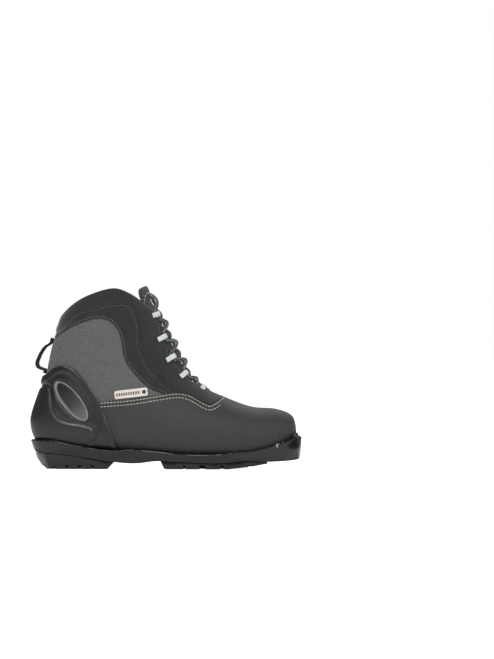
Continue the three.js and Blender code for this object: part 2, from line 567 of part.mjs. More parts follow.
add("heel_tread", tread(HEEL_PLAN,
  [[-141, 19], [-135.5, 5], [-131, 0], [-64, 0], [-56, 8], [-56, 30], [-141, 30]],
  [[-122, 2.5], [-108, 2.5], [-94, 2.5], [-80, 2.5]]), glossBlack);
const BALL_PLAN = plan([[-7, 43], [20, 46], [55, 49.5], [86, 47], [112, 34]],
  [[-7, -45], [20, -48.5], [55, -51], [86, -45], [112, -28]]);
add("forefoot_tread", tread(BALL_PLAN,
  [[-7, 11], [-2, 1], [1, 0], [68, 0], [92, 2.5], [111, 5.5], [111, 30], [-7, 30]],
  [[20.5, 2.5], [40, 6], [61.5, 3], [91.5, 3]]), glossBlack);

export default boot;
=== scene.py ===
# %% [markdown]
# # A laced ski touring boot
# The boot stands on a pale floor, toe to the right, seen from its outer side. Its upper is a stack of thin
# layers on one shape, the last. A boot maker pulls each layer over a last, and this script does the same:
# it computes the skin of the last once, and every layer is a piece of that skin, cut to its outline and
# given its own thickness, edge and finish. Lengths are in millimetres here, and in metres in the scene.

# %% Start
import math

import bmesh
import bpy
import numpy as np
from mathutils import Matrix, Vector


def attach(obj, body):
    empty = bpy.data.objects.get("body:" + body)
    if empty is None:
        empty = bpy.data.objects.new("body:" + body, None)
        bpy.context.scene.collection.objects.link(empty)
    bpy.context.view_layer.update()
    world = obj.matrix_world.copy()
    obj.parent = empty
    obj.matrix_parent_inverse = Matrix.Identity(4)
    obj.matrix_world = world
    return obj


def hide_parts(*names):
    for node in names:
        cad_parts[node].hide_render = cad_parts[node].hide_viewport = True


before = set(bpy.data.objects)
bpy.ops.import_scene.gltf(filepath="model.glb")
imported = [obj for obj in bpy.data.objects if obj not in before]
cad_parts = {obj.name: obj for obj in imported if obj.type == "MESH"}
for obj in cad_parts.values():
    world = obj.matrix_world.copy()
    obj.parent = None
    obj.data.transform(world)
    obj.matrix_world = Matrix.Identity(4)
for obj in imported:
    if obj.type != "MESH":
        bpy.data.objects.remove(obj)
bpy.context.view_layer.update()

MM = 0.001


def pick(*objects):
    """Selects these objects only. The last one is the active one."""
    for thing in bpy.context.selected_objects:
        thing.select_set(False)
    for thing in objects:
        thing.select_set(True)
        bpy.context.view_layer.objects.active = thing


# %% [markdown]
# ## Camera, light and floor
# A long lens far away keeps the sides of the boot parallel, as in a catalogue picture. The frame is tall,
# and the boot stands in its lower left part, so the camera looks at a point above and ahead of the boot.

# %% Camera
SCALE = 1.1009  # millimetres of boot for each step of the frame
AIM = Vector((80.6 * SCALE * MM, 0, 138.6 * SCALE * MM))
DISTANCE = 5.0
bpy.ops.object.camera_add(location=AIM + Vector((0, -DISTANCE, 0)), rotation=(math.pi / 2, 0, 0))
camera = bpy.context.object
camera.data.sensor_fit = "VERTICAL"
camera.data.sensor_height = 24
camera.data.lens = 24 * DISTANCE / (659 * SCALE * MM)
camera.data.clip_end = 60
bpy.context.scene.camera = camera
print("lens", round(camera.data.lens, 1))


# %% Colour and node helpers
def rgb(code):
    """A colour from its sRGB hex code."""
    parts = [int(code[i:i + 2], 16) / 255 for i in (1, 3, 5)]
    return tuple(c / 12.92 if c <= 0.04045 else ((c + 0.055) / 1.055) ** 2.4 for c in parts) + (1,)


def node(tree, kind, settings=None, **links):
    """Adds a node. A link is a (node, output) pair, and anything else is set on the socket itself."""
    made = tree.nodes.new(kind)
    for key, value in (settings or {}).items():
        setattr(made, key, value)
    for key, value in links.items():
        by_number = key[0] == "i" and key[1:].isdigit()
        socket = made.inputs[int(key[1:]) if by_number else key.replace("_", " ")]
        if isinstance(value, tuple) and len(value) == 2 and hasattr(value[0], "outputs"):
            tree.links.new(value[0].outputs[value[1]], socket)
        else:
            socket.default_value = value
    return made


def finish_material(name, **shader):
    """A material with one Principled shader. Its fixed values are set on the sockets."""
    made = bpy.data.materials.new(name)
    made.use_nodes = True
    tree = made.node_tree
    base = tree.nodes["Principled BSDF"]
    for key, value in shader.items():
        base.inputs[key.replace("_", " ")].default_value = value
    return made, tree, base


def ramp(tree, source, stops):
    made = node(tree, "ShaderNodeValToRGB", i0=source)
    while len(made.color_ramp.elements) < len(stops):
        made.color_ramp.elements.new(0.5)
    for element, (place, colour) in zip(made.color_ramp.elements, stops):
        element.position = place
        element.color = rgb(colour) if isinstance(colour, str) else (colour, colour, colour, 1)
    return (made, 0)


def math_node(tree, kind, a, b=0.0, c=0.0):
    return (node(tree, "ShaderNodeMath", {"operation": kind}, i0=a, i1=b, i2=c), 0)


def remap(tree, value, low=0.0, high=1.0, to_low=0.0, to_high=1.0):
    return (node(tree, "ShaderNodeMapRange", i0=value, i1=low, i2=high, i3=to_low, i4=to_high), 0)


def times(tree, a, b):
    return math_node(tree, "MULTIPLY", a, b)


def bump(tree, base, height, distance_mm, strength=1.0):
    made = node(tree, "ShaderNodeBump", Strength=strength, Distance=distance_mm * MM, Height=height)
    tree.links.new(made.outputs[0], base.inputs["Normal"])


def noise(tree, where, size_mm, detail=3, roughness=0.5):
    made = node(tree, "ShaderNodeTexNoise", Vector=where, Scale=1 / (size_mm * MM), Detail=detail)
    made.inputs["Roughness"].default_value = roughness
    return (made, 0)


def link_to(tree, source, base, name):
    tree.links.new(source[0].outputs[source[1]], base.inputs[name])


def place_of(tree):
    return (node(tree, "ShaderNodeTexCoord"), 3)


# %% [markdown]
# The floor is one wide white disc. It and the world round it look white to the camera from every side, so no
# horizon shows, but they light the boot only a little, which keeps its black parts black. Four long soft
# lights give its gloss something to reflect.

# %% Floor and lights
FLOOR_SEEN, FLOOR_GLOW = 1.0, 0.05  # what the camera sees more, and what lights the boot
WORLD_SEEN, WORLD_GLOW = 0.88, 0.12


def seen_white(tree, target, seen, glow):
    """A strength that is higher in what the camera sees than in the light it gives."""
    camera_ray = (tree.nodes.new("ShaderNodeLightPath"), "Is Camera Ray")
    link_to(tree, math_node(tree, "MULTIPLY_ADD", camera_ray, seen, glow), target[0], target[1])


def light_table():
    pick()
    bpy.ops.mesh.primitive_circle_add(vertices=96, radius=14, fill_type="TRIFAN", location=(0, 0, -0.0004))
    floor = bpy.context.object
    floor.name = "floor"
    bpy.ops.object.mode_set(mode="EDIT")
    bpy.ops.mesh.select_all(action="SELECT")
    bpy.ops.mesh.subdivide(number_cuts=2)
    bpy.ops.object.mode_set(mode="OBJECT")
    bpy.ops.object.transform_apply(location=True, rotation=True, scale=True)
    paper, tree, base = finish_material("studio_paper", Roughness=0.95, Specular_IOR_Level=0.0)
    fibres = noise(tree, place_of(tree), 6, 3)
    link_to(tree, ramp(tree, fibres, [(0.2, "#f6f6f6"), (0.8, "#ffffff")]), base, "Base Color")
    base.inputs["Emission Color"].default_value = rgb("#ffffff")
    seen_white(tree, (base, "Emission Strength"), FLOOR_SEEN, FLOOR_GLOW)
    floor.data.materials.append(paper)


def soft_light(name, place, target, size, watts, colour):
    bpy.ops.object.light_add(type="AREA", location=place)
    lamp = bpy.context.object
    lamp.name = name
    lamp.data.shape = "RECTANGLE"
    lamp.data.size, lamp.data.size_y = size
    lamp.data.energy = watts
    lamp.data.color = rgb(colour)[:3]
    lamp.rotation_euler = (Vector(target) - Vector(place)).to_track_quat("-Z", "Y").to_euler()


light_table()
soft_light("key_light", (-0.5, -1.2, 1.5), (0, 0, 0.08), (1.5, 0.2), 22, "#fffaf2")
soft_light("strip_light", (-0.2, -1.5, 0.75), (0, 0, 0.05), (1.8, 0.07), 5, "#f2f6ff")
soft_light("side_light", (1.4, -0.8, 0.6), (0.05, 0, 0.06), (0.3, 0.9), 9, "#e2ecff")
soft_light("back_light", (0.1, 1.3, 1.4), (0, 0, 0.1), (1.6, 0.5), 9, "#ffffff")
bpy.context.scene.view_settings.view_transform = "Standard"
world = bpy.data.worlds.new("studio")
world.use_nodes = True
background = world.node_tree.nodes["Background"]
background.inputs["Color"].default_value = rgb("#ffffff")
seen_white(world.node_tree, (background, "Strength"), WORLD_SEEN, WORLD_GLOW)
bpy.context.scene.world = world

# %% [markdown]
# ## The last
# The last runs from the toe to over the ankle. Its sections turn with the foot: upright at the toe, tilted
# over the heel, nearly level at the collar. Each section goes through a front point, on the ridge of the
# foot, and a back point, on the sole or the heel, and is a rounded box between them.

# %% The last's measurements
FRONT = np.array([[143.5, 38], [139, 57], [121, 65.2], [94, 67.8], [68, 77], [46, 88], [30, 100.5], [20, 118.5],
                  [10.5, 137], [1, 156], [-9, 178], [-27, 212]], float)
BACK = np.array([[143.5, 38], [136, 24.5], [116, 17.5], [88, 13.6], [52, 12.4], [4, 13.8], [-58, 18], [-127, 23.5],
                 [-146.5, 49], [-134.5, 94], [-124, 142], [-106, 202]], float)
CHASSIS_BACK = np.array([[149, 34], [144, 4], [118, 1], [88, 0], [52, 0], [6, 0], [-58, 0], [-131, 7], [-150.5, 42],
                         [-139, 94], [-124, 142], [-106, 202]], float)
HALF_WIDTH = np.array([[24, 32, 42, 49, 50, 46, 42, 38.5, 37.5, 38.5, 41.5, 44]], float).T
SHIFT = np.array([[8, 7, 4, 1, -1, -2, -1, 0, 0, 0, 0, 0]], float).T
WIDEST = np.array([[0.5, 0.45, 0.4, 0.37, 0.36, 0.36, 0.4, 0.45, 0.5, 0.5, 0.5, 0.5]]).T
FRONT_POWER = np.array([[2.1, 2.2, 2.3, 2.2, 2.0, 1.9, 1.95, 2.1, 2.2, 2.3, 2.4, 2.4]]).T
BACK_POWER = np.array([[2.1, 2.8, 4, 5, 5, 5, 4.4, 3.2, 2.5, 2.3, 2.2, 2.2]]).T
NOSE = 0.24


def through(points, t):
    """A smooth curve through points, at t from 0 to 1."""
    points = np.asarray(points, float)
    n = len(points)
    p = np.clip(np.asarray(t, float), 0, 1) * (n - 1)
    i = np.minimum(np.floor(p).astype(int), n - 2)
    w = (p - i)[:, None]
    a, b, c, d = (points[np.clip(i + k, 0, n - 1)] for k in (-1, 0, 1, 2))
    v0, v1 = (c - a) / 2, (d - b) / 2
    return (2 * b - 2 * c + v0 + v1) * w**3 + (3 * c - 3 * b - 2 * v0 - v1) * w**2 + v0 * w + b


def skin(u, v, back=BACK, wider=0.0):
    """Points of the last's skin: u from the toe to the collar, v once round from the outer side over the front."""
    u, v = np.broadcast_arrays(np.atleast_1d(np.asarray(u, float)), np.atleast_1d(np.asarray(v, float)))
    front, rear = through(FRONT, u), through(back, u)
    middle = rear + (front - rear) * through(WIDEST, u)
    cos, sin = np.cos(2 * np.pi * v), np.sin(2 * np.pi * v)
    power = 2 / np.where(sin >= 0, through(FRONT_POWER, u)[:, 0], through(BACK_POWER, u)[:, 0])
    tip = np.where((sin >= 0)[:, None], front, rear)
    nose = np.sqrt(np.maximum(0, 1 - (1 - np.minimum(1, u / NOSE)) ** 2))
    width = (through(HALF_WIDTH, u)[:, 0] + wider) * nose
    side = middle + (tip - middle) * (np.abs(sin) ** power)[:, None]
    across = through(SHIFT, u)[:, 0] - np.sign(cos) * width * np.abs(cos) ** power
    return np.stack([side[:, 0], across, side[:, 1]], 1)


def outward(u, v, back=BACK, wider=0.0):
    """The way out of the skin."""
    h = 1e-3
    toe = (np.atleast_1d(u) < h)[:, None]
    u = np.maximum(u, 1.5 * h)
    along = skin(np.minimum(1, u + h), v, back, wider) - skin(u - h, v, back, wider)
    round_ = skin(u, v + h, back, wider) - skin(u, v - h, back, wider)
    n = np.cross(round_, along)
    return np.where(toe, [1.0, 0, 0], n / np.maximum(np.linalg.norm(n, axis=1, keepdims=True), 1e-9))


# %% [markdown]
# The outlines of the pieces are drawn as seen from the side, like the paper patterns that a boot maker cuts
# the upper from. Each is a smooth line from the heel towards the toe.

# %% Patterns
def pattern(points, count=90):
    return through(points, np.linspace(0, 1, count))


VAMP_EDGE = np.vstack([
    pattern([[-175, 64], [-120, 68], [-74, 73], [-39.5, 76], [-9, 80.6], [12, 83.4], [26, 81], [38, 74.6]], 80),
    pattern([[38, 74.6], [43.5, 71.5], [48.5, 70], [53, 72], [65, 80.5], [76, 90], [190, 95]], 50)[1:]])
PANEL_EDGE = pattern([[-170, 120], [-123.5, 144], [-102, 156.6], [-75, 165.2], [-58, 160], [-49, 145], [-45.6, 125],
                      [-39, 111], [-20, 90.5], [-1, 81.8], [20, 70]])
COLLAR_TOP = pattern([[-170, 100], [-124, 149.5], [-115, 167], [-97, 183], [-76, 192.6], [-56, 197], [-42, 192.5],
                      [-30, 185], [-18, 176.5], [10, 160], [90, 130]])
GROOVE_LINE = pattern([[-140, 128], [-118, 152], [-98, 170], [-78, 175.6], [-56, 180.5], [-41, 179.5], [-34.8, 172],
                       [-30, 154.6], [-28.7, 133], [-19.5, 112], [-5.3, 95.5], [9, 85.3]])
RIM = pattern([[-165, 30], [-129, 31.5], [-99, 25.5], [-60, 20], [-38, 21.4], [-10, 19.2], [24, 16], [64, 16.8],
               [105, 23.5], [131, 30.5], [143, 37.5], [160, 46]])
UNDERSIDE = pattern([[-165, 20], [-136, 18], [-95, 13.8], [-58, 8], [-33, 6.4], [-7, 9], [37, 7], [62, 7], [90, 9.5],
                     [114, 8], [144, 10], [165, 16]])
COUNTER_EDGE = pattern([[-165, 88], [-133, 100.5], [-122, 109], [-113, 112], [-103, 109.8], [-92, 100], [-80, 81.5],
                        [-72, 69], [-63, 48], [-52.5, 19], [-49, 8]])
CHANNEL_LINE = pattern([[-138, 88], [-132, 91.5], [-126.5, 90], [-124.8, 84], [-123.5, 71], [-121.3, 62],
                        [-115.4, 55], [-106.5, 51.3], [-95.5, 49.8], [-86, 47.8], [-80, 45], [-77, 41],
                        [-77.5, 35], [-81, 30]], 120)


def to_line(xz, line):
    """Distance to a line, and its sign: positive on the left of it, which is above."""
    a, b = line[:-1], line[1:]
    ab = b - a
    best = np.full(len(xz), 1e9)
    sign = np.ones(len(xz))
    for s, e in zip(a, ab):
        rel = xz - s
        t = np.clip((rel @ e) / (e @ e), 0, 1)
        gap = rel - t[:, None] * e
        d = np.hypot(gap[:, 0], gap[:, 1])
        near = d < best
        best = np.where(near, d, best)
        side = e[0] * rel[:, 1] - e[1] * rel[:, 0]
        sign = np.where(near & (np.abs(side) > 1e-9), np.sign(side), sign)
    return best * sign


def above(line, by=0.0):
    return lambda p: to_line(p[:, [0, 2]], line) - by


def below(line, by=0.0):
    return lambda p: -to_line(p[:, [0, 2]], line) - by


def step(value, low, high):
    t = np.clip((value - low) / (high - low), 0, 1)
    return t * t * (3 - 2 * t)


# %% [markdown]
# The boot opens along the shin. The lacing gap and the tongue are measured up the shin from the throat, and
# across the boot.

# %% The opening over the instep
THROAT, SHIN_TOP = np.array([62, 77.0]), np.array([-24.8, 197.7])
SHIN = float(np.hypot(*(SHIN_TOP - THROAT)))
SHIN_WAY = (SHIN_TOP - THROAT) / SHIN
LACING_HALF_WIDTH = np.array([[13, 18, 21.5, 22, 22, 22.0]]).T
TONGUE_HALF_WIDTH = np.array([[15, 19, 22.4, 23.4, 23.9, 24.2]]).T


def up_shin(p):
    return (p[:, [0, 2]] - THROAT) @ SHIN_WAY


def off_shin(p):
    rel = p[:, [0, 2]] - THROAT
    return rel[:, 0] * SHIN_WAY[1] - rel[:, 1] * SHIN_WAY[0]


def beside_opening(widths, start, end, round_, by=0.0):
    """Signed distance out of an opening: widths across it, from start to end up the shin, rounded below."""
    def distance(p):
        s = up_shin(p)
        w = through(widths, (s - start) / (end - start))[:, 0]
        low = np.hypot((s - start) * widths[0, 0] / round_, p[:, 1]) - widths[0, 0]
        out = np.where(s > start, np.abs(p[:, 1]) - w, low)
        return np.where(off_shin(p) < -60, 50, out) - by
    return distance


beside_lacing = beside_opening(LACING_HALF_WIDTH, 6, SHIN + 60, 9)


def on_tongue(p):
    s = up_shin(p)
    w = through(TONGUE_HALF_WIDTH, (s + 6) / (SHIN + 6))[:, 0]
    corner = 9
    across = w - np.abs(p[:, 1])
    over = SHIN - s
    rounded = corner - np.hypot(np.maximum(0, corner - across), np.maximum(0, corner - over))
    return np.where(off_shin(p) < -55, -50, np.minimum(rounded, s + 10))


# %% [markdown]
# ## Cutting a layer
# Fine square cells cover the skin. A pattern line cuts through them, and a cell corner that lies close to
# the line is first pulled onto it, so no thin slivers are left at the edge. The cut piece then gets an outer
# and an inner face, and an edge that is rolled over, as the edge of folded leather or moulded plastic is.

# %% Layers
def cells(u0, u1, rows, v0, v1, columns, bunch=1.0):
    u = u0 + (u1 - u0) * np.linspace(0, 1, rows + 1) ** bunch
    wrap = abs(v1 - v0 - 1) < 1e-9
    v = np.linspace(v0, v1, columns + 1)[:columns + (not wrap)]
    uv = np.stack([np.repeat(u, len(v)), np.tile(v, rows + 1)], 1)
    n = len(v)
    faces = []
    for r in range(rows):
        for c in range(columns):
            d = (c + 1) % n
            faces.append((r * n + c, r * n + d, (r + 1) * n + d, (r + 1) * n + c))
    return uv, faces


def cut(uv, faces, keep, skin_of):
    """Keeps what lies on the positive side of keep."""
    value = keep(skin_of(uv[:, 0], uv[:, 1]))
    faces = [f for f in faces if max(value[list(f)]) > 0]
    pull = {}
    for f in faces:
        for a, b in zip(f, f[1:] + f[:1]):
            for p, q in ((a, b), (b, a)):
                if value[p] * value[q] < 0:
                    share = value[p] / (value[p] - value[q])
                    if share < 0.32 and share < pull.get(p, (1, 0))[0]:
                        pull[p] = (share, q)
    uv, value = uv.copy(), value.copy()
    moved = {p: wrap_to(uv[p], uv[q], share) for p, (share, q) in pull.items()}
    for p, place in moved.items():
        uv[p] = place
        value[p] = 0
    extra, made, out = [], {}, []
    for f in faces:
        vals = value[list(f)]
        if vals.min() >= 0:
            if vals.max() > 0:
                out.append(f)
            continue
        ring = []
        for a, b in zip(f, f[1:] + f[:1]):
            if value[a] >= 0:
                ring.append(a)
            if value[a] * value[b] < 0:
                key = (min(a, b), max(a, b))
                if key not in made:
                    share = value[key[0]] / (value[key[0]] - value[key[1]])
                    made[key] = len(uv) + len(extra)
                    extra.append(wrap_to(uv[key[0]], uv[key[1]], share))
                ring.append(made[key])
        if len(ring) > 2 and max([value[i] if i < len(value) else 0 for i in ring]) > 0:
            out.append(tuple(ring))
    uv = np.vstack([uv, np.array(extra)]) if extra else uv
    used = sorted({i for f in out for i in f})
    index = {old: new for new, old in enumerate(used)}
    return uv[used], [tuple(index[i] for i in f) for f in out]


def wrap_to(a, b, share):
    """A point between two corners, the short way round the boot."""
    gap = b - a
    gap[1] -= round(gap[1])
    return a + gap * share


def mesh_object(name, points, faces, smooth=True):
    data = bpy.data.meshes.new(name)
    data.from_pydata((np.asarray(points) * MM).tolist(), [], faces)
    data.validate()
    if smooth:
        data.polygons.foreach_set("use_smooth", [True] * len(data.polygons))
    made = bpy.data.objects.new(name, data)
    bpy.context.collection.objects.link(made)
    return made


def layer(name, grid, trims, outer, inner, edge=0.6, roll=5, skin_of=skin, out_of=outward):
    """A layer of the skin with its patterns cut, its thickness and its rolled edge."""
    uv, faces = grid
    for keep in trims:
        uv, faces = cut(uv, faces, keep, skin_of)
    base, way = skin_of(uv[:, 0], uv[:, 1]), out_of(uv[:, 0], uv[:, 1])
    outer_at = outer(base, uv) if callable(outer) else np.full(len(uv), float(outer))
    inner_at = inner(base, uv) if callable(inner) else np.full(len(uv), float(inner))
    top, low = base + way * outer_at[:, None], base + way * inner_at[:, None]
    n = len(uv)
    count = {}
    for f in faces:
        for a, b in zip(f, f[1:] + f[:1]):
            count[(a, b)] = count.get((a, b), 0) + 1
    rim = [(a, b) for (a, b) in count if (b, a) not in count]
    away = np.zeros((n, 3))
    for a, b in rim:
        side = np.cross(top[b] - top[a], way[a] + way[b])
        side /= max(np.linalg.norm(side), 1e-9)
        away[a] += side
        away[b] += side
    edge_points = sorted({i for pair in rim for i in pair})
    at = {i: k for k, i in enumerate(edge_points)}
    length = np.linalg.norm(away[edge_points], axis=1, keepdims=True)
    away_e = away[edge_points] / np.maximum(length, 1e-9)
    middle, half = (top + low)[edge_points] / 2, (top - low)[edge_points] / 2
    rings = [middle + half * math.cos(math.pi * k / roll) + away_e * edge * math.sin(math.pi * k / roll)
             for k in range(1, roll)]
    points = np.vstack([top, low] + rings)
    m = len(edge_points)

    def row(i, k):
        return i if k == 0 else (n + i if k == roll else 2 * n + (k - 1) * m + at[i])
    solid = list(faces) + [tuple(n + i for i in reversed(f)) for f in faces]
    for a, b in rim:
        solid += [(row(b, k), row(a, k), row(a, k + 1), row(b, k + 1)) for k in range(roll)]
    made = mesh_object(name, points, solid)
    print(name, len(points), "points")
    return made


def wear(obj, body, slot, finish, *nodes):
    """Finishes a piece: its material, the body it moves with and the solids it stands for."""
    obj.data.materials.clear()
    obj.data.materials.append(finish)
    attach(obj, body)
    if nodes:
        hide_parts(*nodes)

# %% [markdown]
# ## Materials
# Each material starts from what the real one is. The leather of the vamp is a coated synthetic with a fine
# pebble grain. The ankle panel is a twill, with fine slanting ribs. The collar is a brushed felt that shines
# softly at a grazing look. The sole frame and its treads are moulded plastic, polished by the
# mould. Patterns that are too fine to show are drawn about twice as coarse.

# %% Leather, felt and foam
def mixed(tree, factor, a, b):
    return (node(tree, "ShaderNodeMix", {"data_type": "RGBA"}, i0=factor, i6=a, i7=b), 2)


def grained(name, dark, light, patch_mm, grain_mm, depth_mm, rough=(0.5, 0.7), **shader):
    """A soft or moulded surface: colour in patches, a fine grain and slow waves under it."""
    made, tree, base = finish_material(name, **shader)
    where = place_of(tree)
    patches = noise(tree, where, patch_mm, 5, 0.6)
    fine = noise(tree, where, grain_mm, 2, 0.6)
    both = math_node(tree, "MULTIPLY_ADD", fine, 0.45, times(tree, patches, 0.55))
    link_to(tree, ramp(tree, both, [(0.32, dark), (0.68, light)]), base, "Base Color")
    link_to(tree, remap(tree, patches, 0.3, 0.7, *rough), base, "Roughness")
    cell = node(tree, "ShaderNodeTexVoronoi", {"feature": "SMOOTH_F1"}, Vector=where, Scale=1 / (grain_mm * MM))
    height = math_node(tree, "MULTIPLY_ADD", (cell, 0), 0.6, times(tree, patches, 2.2))
    bump(tree, base, height, depth_mm, 0.8)
    return made


vamp_leather = grained("coated_synthetic_leather", "#2b2a28", "#3a3936", 26, 1.5, 0.28, (0.56, 0.72),
                       Specular_IOR_Level=0.42, Sheen_Weight=0.12)
felt = grained("brushed_felt", "#1f1f1e", "#2e2e2b", 14, 1.2, 0.3, (0.86, 0.96), Sheen_Weight=0.35,
               Sheen_Roughness=0.55, Specular_IOR_Level=0.2)
foam_cloth = grained("knitted_foam_cloth", "#2b2b2b", "#484746", 9, 1.8, 0.35, (0.85, 0.95), Sheen_Weight=0.3)
fibreboard = grained("cellulose_board", "#7d6f58", "#97886c", 12, 1.6, 0.15, (0.85, 0.95))
stiff_sheet = grained("stiff_polymer_sheet", "#1b1b1b", "#2a2a2a", 20, 1.4, 0.06, (0.4, 0.55))
counter_plastic = grained("satin_moulded_plastic", "#1b1c1c", "#242424", 30, 0.9, 0.04, (0.3, 0.42),
                          Specular_IOR_Level=0.5, Coat_Weight=0.3, Coat_Roughness=0.2)


# %% [markdown]
# The sole frame is glossy, but not perfect: its surface waves a little where the plastic cooled, and fine
# scratches run along it where it has met stones and bindings.

# %% Gloss plastic, tread rubber and steel
def moulded(name, dark, light, rough, scratch, coat=0.35):
    made, tree, base = finish_material(name, Coat_Weight=coat, Coat_Roughness=0.12, IOR=1.5)
    where = place_of(tree)
    slow = noise(tree, where, 18, 3, 0.5)
    link_to(tree, ramp(tree, slow, [(0.35, dark), (0.7, light)]), base, "Base Color")
    long_way = (node(tree, "ShaderNodeMapping", i0=where, i3=(1, 1, 9)), 0)
    lines = noise(tree, long_way, 7, 6, 0.75)
    marks = remap(tree, lines, 0.60, 0.72, rough, rough + scratch)
    link_to(tree, marks, base, "Roughness")
    fine = noise(tree, where, 1.1, 2)
    bump(tree, base, math_node(tree, "MULTIPLY_ADD", fine, 0.08, slow), 0.35, 0.5)
    return made


gloss_plastic = moulded("polished_moulded_plastic", "#070809", "#0f1112", 0.14, 0.25)
tread_rubber = moulded("moulded_tread_rubber", "#0c0e0f", "#171a1b", 0.22, 0.2, 0.2)


def steel_finish():
    made, tree, base = finish_material("drawn_steel", Metallic=1.0)
    where = (node(tree, "ShaderNodeMapping", i0=place_of(tree), i3=(1, 0.08, 1)), 0)
    lines = noise(tree, where, 0.8, 4)
    link_to(tree, ramp(tree, lines, [(0.3, "#9b9ea2"), (0.7, "#c3c6ca")]), base, "Base Color")
    link_to(tree, remap(tree, lines, to_low=0.22, to_high=0.42), base, "Roughness")
    bump(tree, base, lines, 0.03)
    return made


steel = steel_finish()


# %% [markdown]
# A weave is two families of threads that take turns on top. Two waves at right angles give the threads, and
# where one is high its thread covers the other. One helper makes the mesh of the tongue and the tapes, and
# the panel's twill has its own. On a cord the waves run round it in both directions, which gives a braid.

# %% Woven cloth and braid
def threads(tree, a, b):
    """Heights of two families of threads from two phases, and a mask that is 1 where the first lies on top."""
    first = math_node(tree, "ABSOLUTE", math_node(tree, "SINE", a))
    second = math_node(tree, "ABSOLUTE", math_node(tree, "SINE", b))
    turn = times(tree, math_node(tree, "SINE", a), math_node(tree, "SINE", b))
    mask = remap(tree, turn, -0.25, 0.25)
    height = (node(tree, "ShaderNodeMix", i0=mask, i2=second, i3=first), 0)
    return height, mask


RIB_PITCH, THREAD_PITCH = 1.9, 1.3


def twill(name, light, dark, **shader):
    """Fine slanting ribs that break up, with a coarser shadow of the same slant."""
    made, tree, base = finish_material(name, Roughness=0.88, **shader)
    where = place_of(tree)
    axes = node(tree, "ShaderNodeSeparateXYZ", i0=where)
    wobble = noise(tree, where, 5, 2)
    slant = math_node(tree, "MULTIPLY_ADD", (axes, 0), 0.42, (axes, 2))
    phase = math_node(tree, "MULTIPLY_ADD", wobble, 1.6, times(tree, slant, 2 * math.pi / (RIB_PITCH * MM)))
    rib = math_node(tree, "SINE", phase)
    cross = math_node(tree, "MULTIPLY_ADD", (axes, 2), -0.9, (axes, 0))
    thread = math_node(tree, "SINE", times(tree, cross, 2 * math.pi / (THREAD_PITCH * MM)))
    height = math_node(tree, "MULTIPLY_ADD", rib, 0.5, times(tree, thread, 0.3))
    fleck = noise(tree, where, 1.6, 3, 0.7)
    shade = math_node(tree, "MULTIPLY_ADD", fleck, 1.1, times(tree, height, 0.35))
    shade = remap(tree, shade, 0.15, 0.95)
    link_to(tree, mixed(tree, shade, rgb(dark), rgb(light)), base, "Base Color")
    bump(tree, base, height, 0.3, 0.8)
    return made


def woven(name, first, second, gap_shade_colour, pitch_mm, turned=True, depth_mm=0.35, uv=False, **shader):
    made, tree, base = finish_material(name, **shader)
    where = (node(tree, "ShaderNodeTexCoord"), 2 if uv else 3)
    axes = node(tree, "ShaderNodeSeparateXYZ", i0=where)
    x, z = (axes, 0), (axes, 1 if uv else 2)
    if turned:
        x, z = math_node(tree, "ADD", x, z), math_node(tree, "SUBTRACT", x, z)
    k = math.pi / (pitch_mm * MM) / (math.sqrt(2) if turned else 1)
    a = times(tree, x, k)
    b = times(tree, z, k)
    height, mask = threads(tree, a, b)
    patches = noise(tree, (node(tree, "ShaderNodeTexCoord"), 3), 11, 4, 0.6)
    cloth = mixed(tree, mask, rgb(second), rgb(first))
    # The mix follows random patches, a real change of tone, and the threads' height: where both threads dip, the
    # darker gap colour is painted shade between them.
    shade = math_node(tree, "MULTIPLY_ADD", patches, 0.5, times(tree, height, 0.75))
    shade = remap(tree, shade, 0.25, 0.85)
    link_to(tree, mixed(tree, shade, rgb(gap_shade_colour), cloth), base, "Base Color")
    base.inputs["Roughness"].default_value = 0.88
    bump(tree, base, height, depth_mm, 0.9)
    return made


panel_twill = twill("polyester_twill", "#727272", "#474748", Sheen_Weight=0.15)
tongue_mesh = woven("spacer_mesh", "#55524d", "#45413c", "#1e1c1a", 1.7, Sheen_Weight=0.2)
white_tape = woven("white_woven_tape", "#f1f3ef", "#dfe6e1", "#a9b0ac", 1.5, False, 0.25, Sheen_Weight=0.1)
black_tape = woven("black_woven_tape", "#242424", "#161616", "#080808", 1.6, False, 0.3, Sheen_Weight=0.15)
lace_braid = woven("braided_polyester_lace", "#17181a", "#8f9391", "#0c0d0e", 2.6, True, 0.4, True,
                   Sheen_Weight=0.25)


def thread_finish(name, dark, light):
    made, tree, base = finish_material(name, Roughness=0.6, Sheen_Weight=0.2)
    twist = (node(tree, "ShaderNodeMapping", i0=place_of(tree), i2=(0, 0.7, 0), i3=(1, 1, 3)), 0)
    ply = noise(tree, twist, 0.9, 2)
    link_to(tree, ramp(tree, ply, [(0.3, dark), (0.7, light)]), base, "Base Color")
    bump(tree, base, ply, 0.12)
    return made


white_thread = thread_finish("white_polyester_thread", "#b9b9b3", "#ecebe4")
grey_thread = thread_finish("grey_polyester_thread", "#6a6a66", "#8d8d88")
# Painted shade: this near-black thread colours the cord in the collar's groove, which stands in for the groove's
# shadow.
groove_shade_thread = thread_finish("groove_painted_shade_thread", "#121212", "#242423")

# %% [markdown]
# ## The lace
# The lace comes first, because everything over the instep makes room for it. It is one braided cord: it
# crosses the throat, goes up through five loops a side, crosses itself between them, and its two ends are
# tucked down beside the tongue. The route's points lie on the last, at the height of what it passes over.

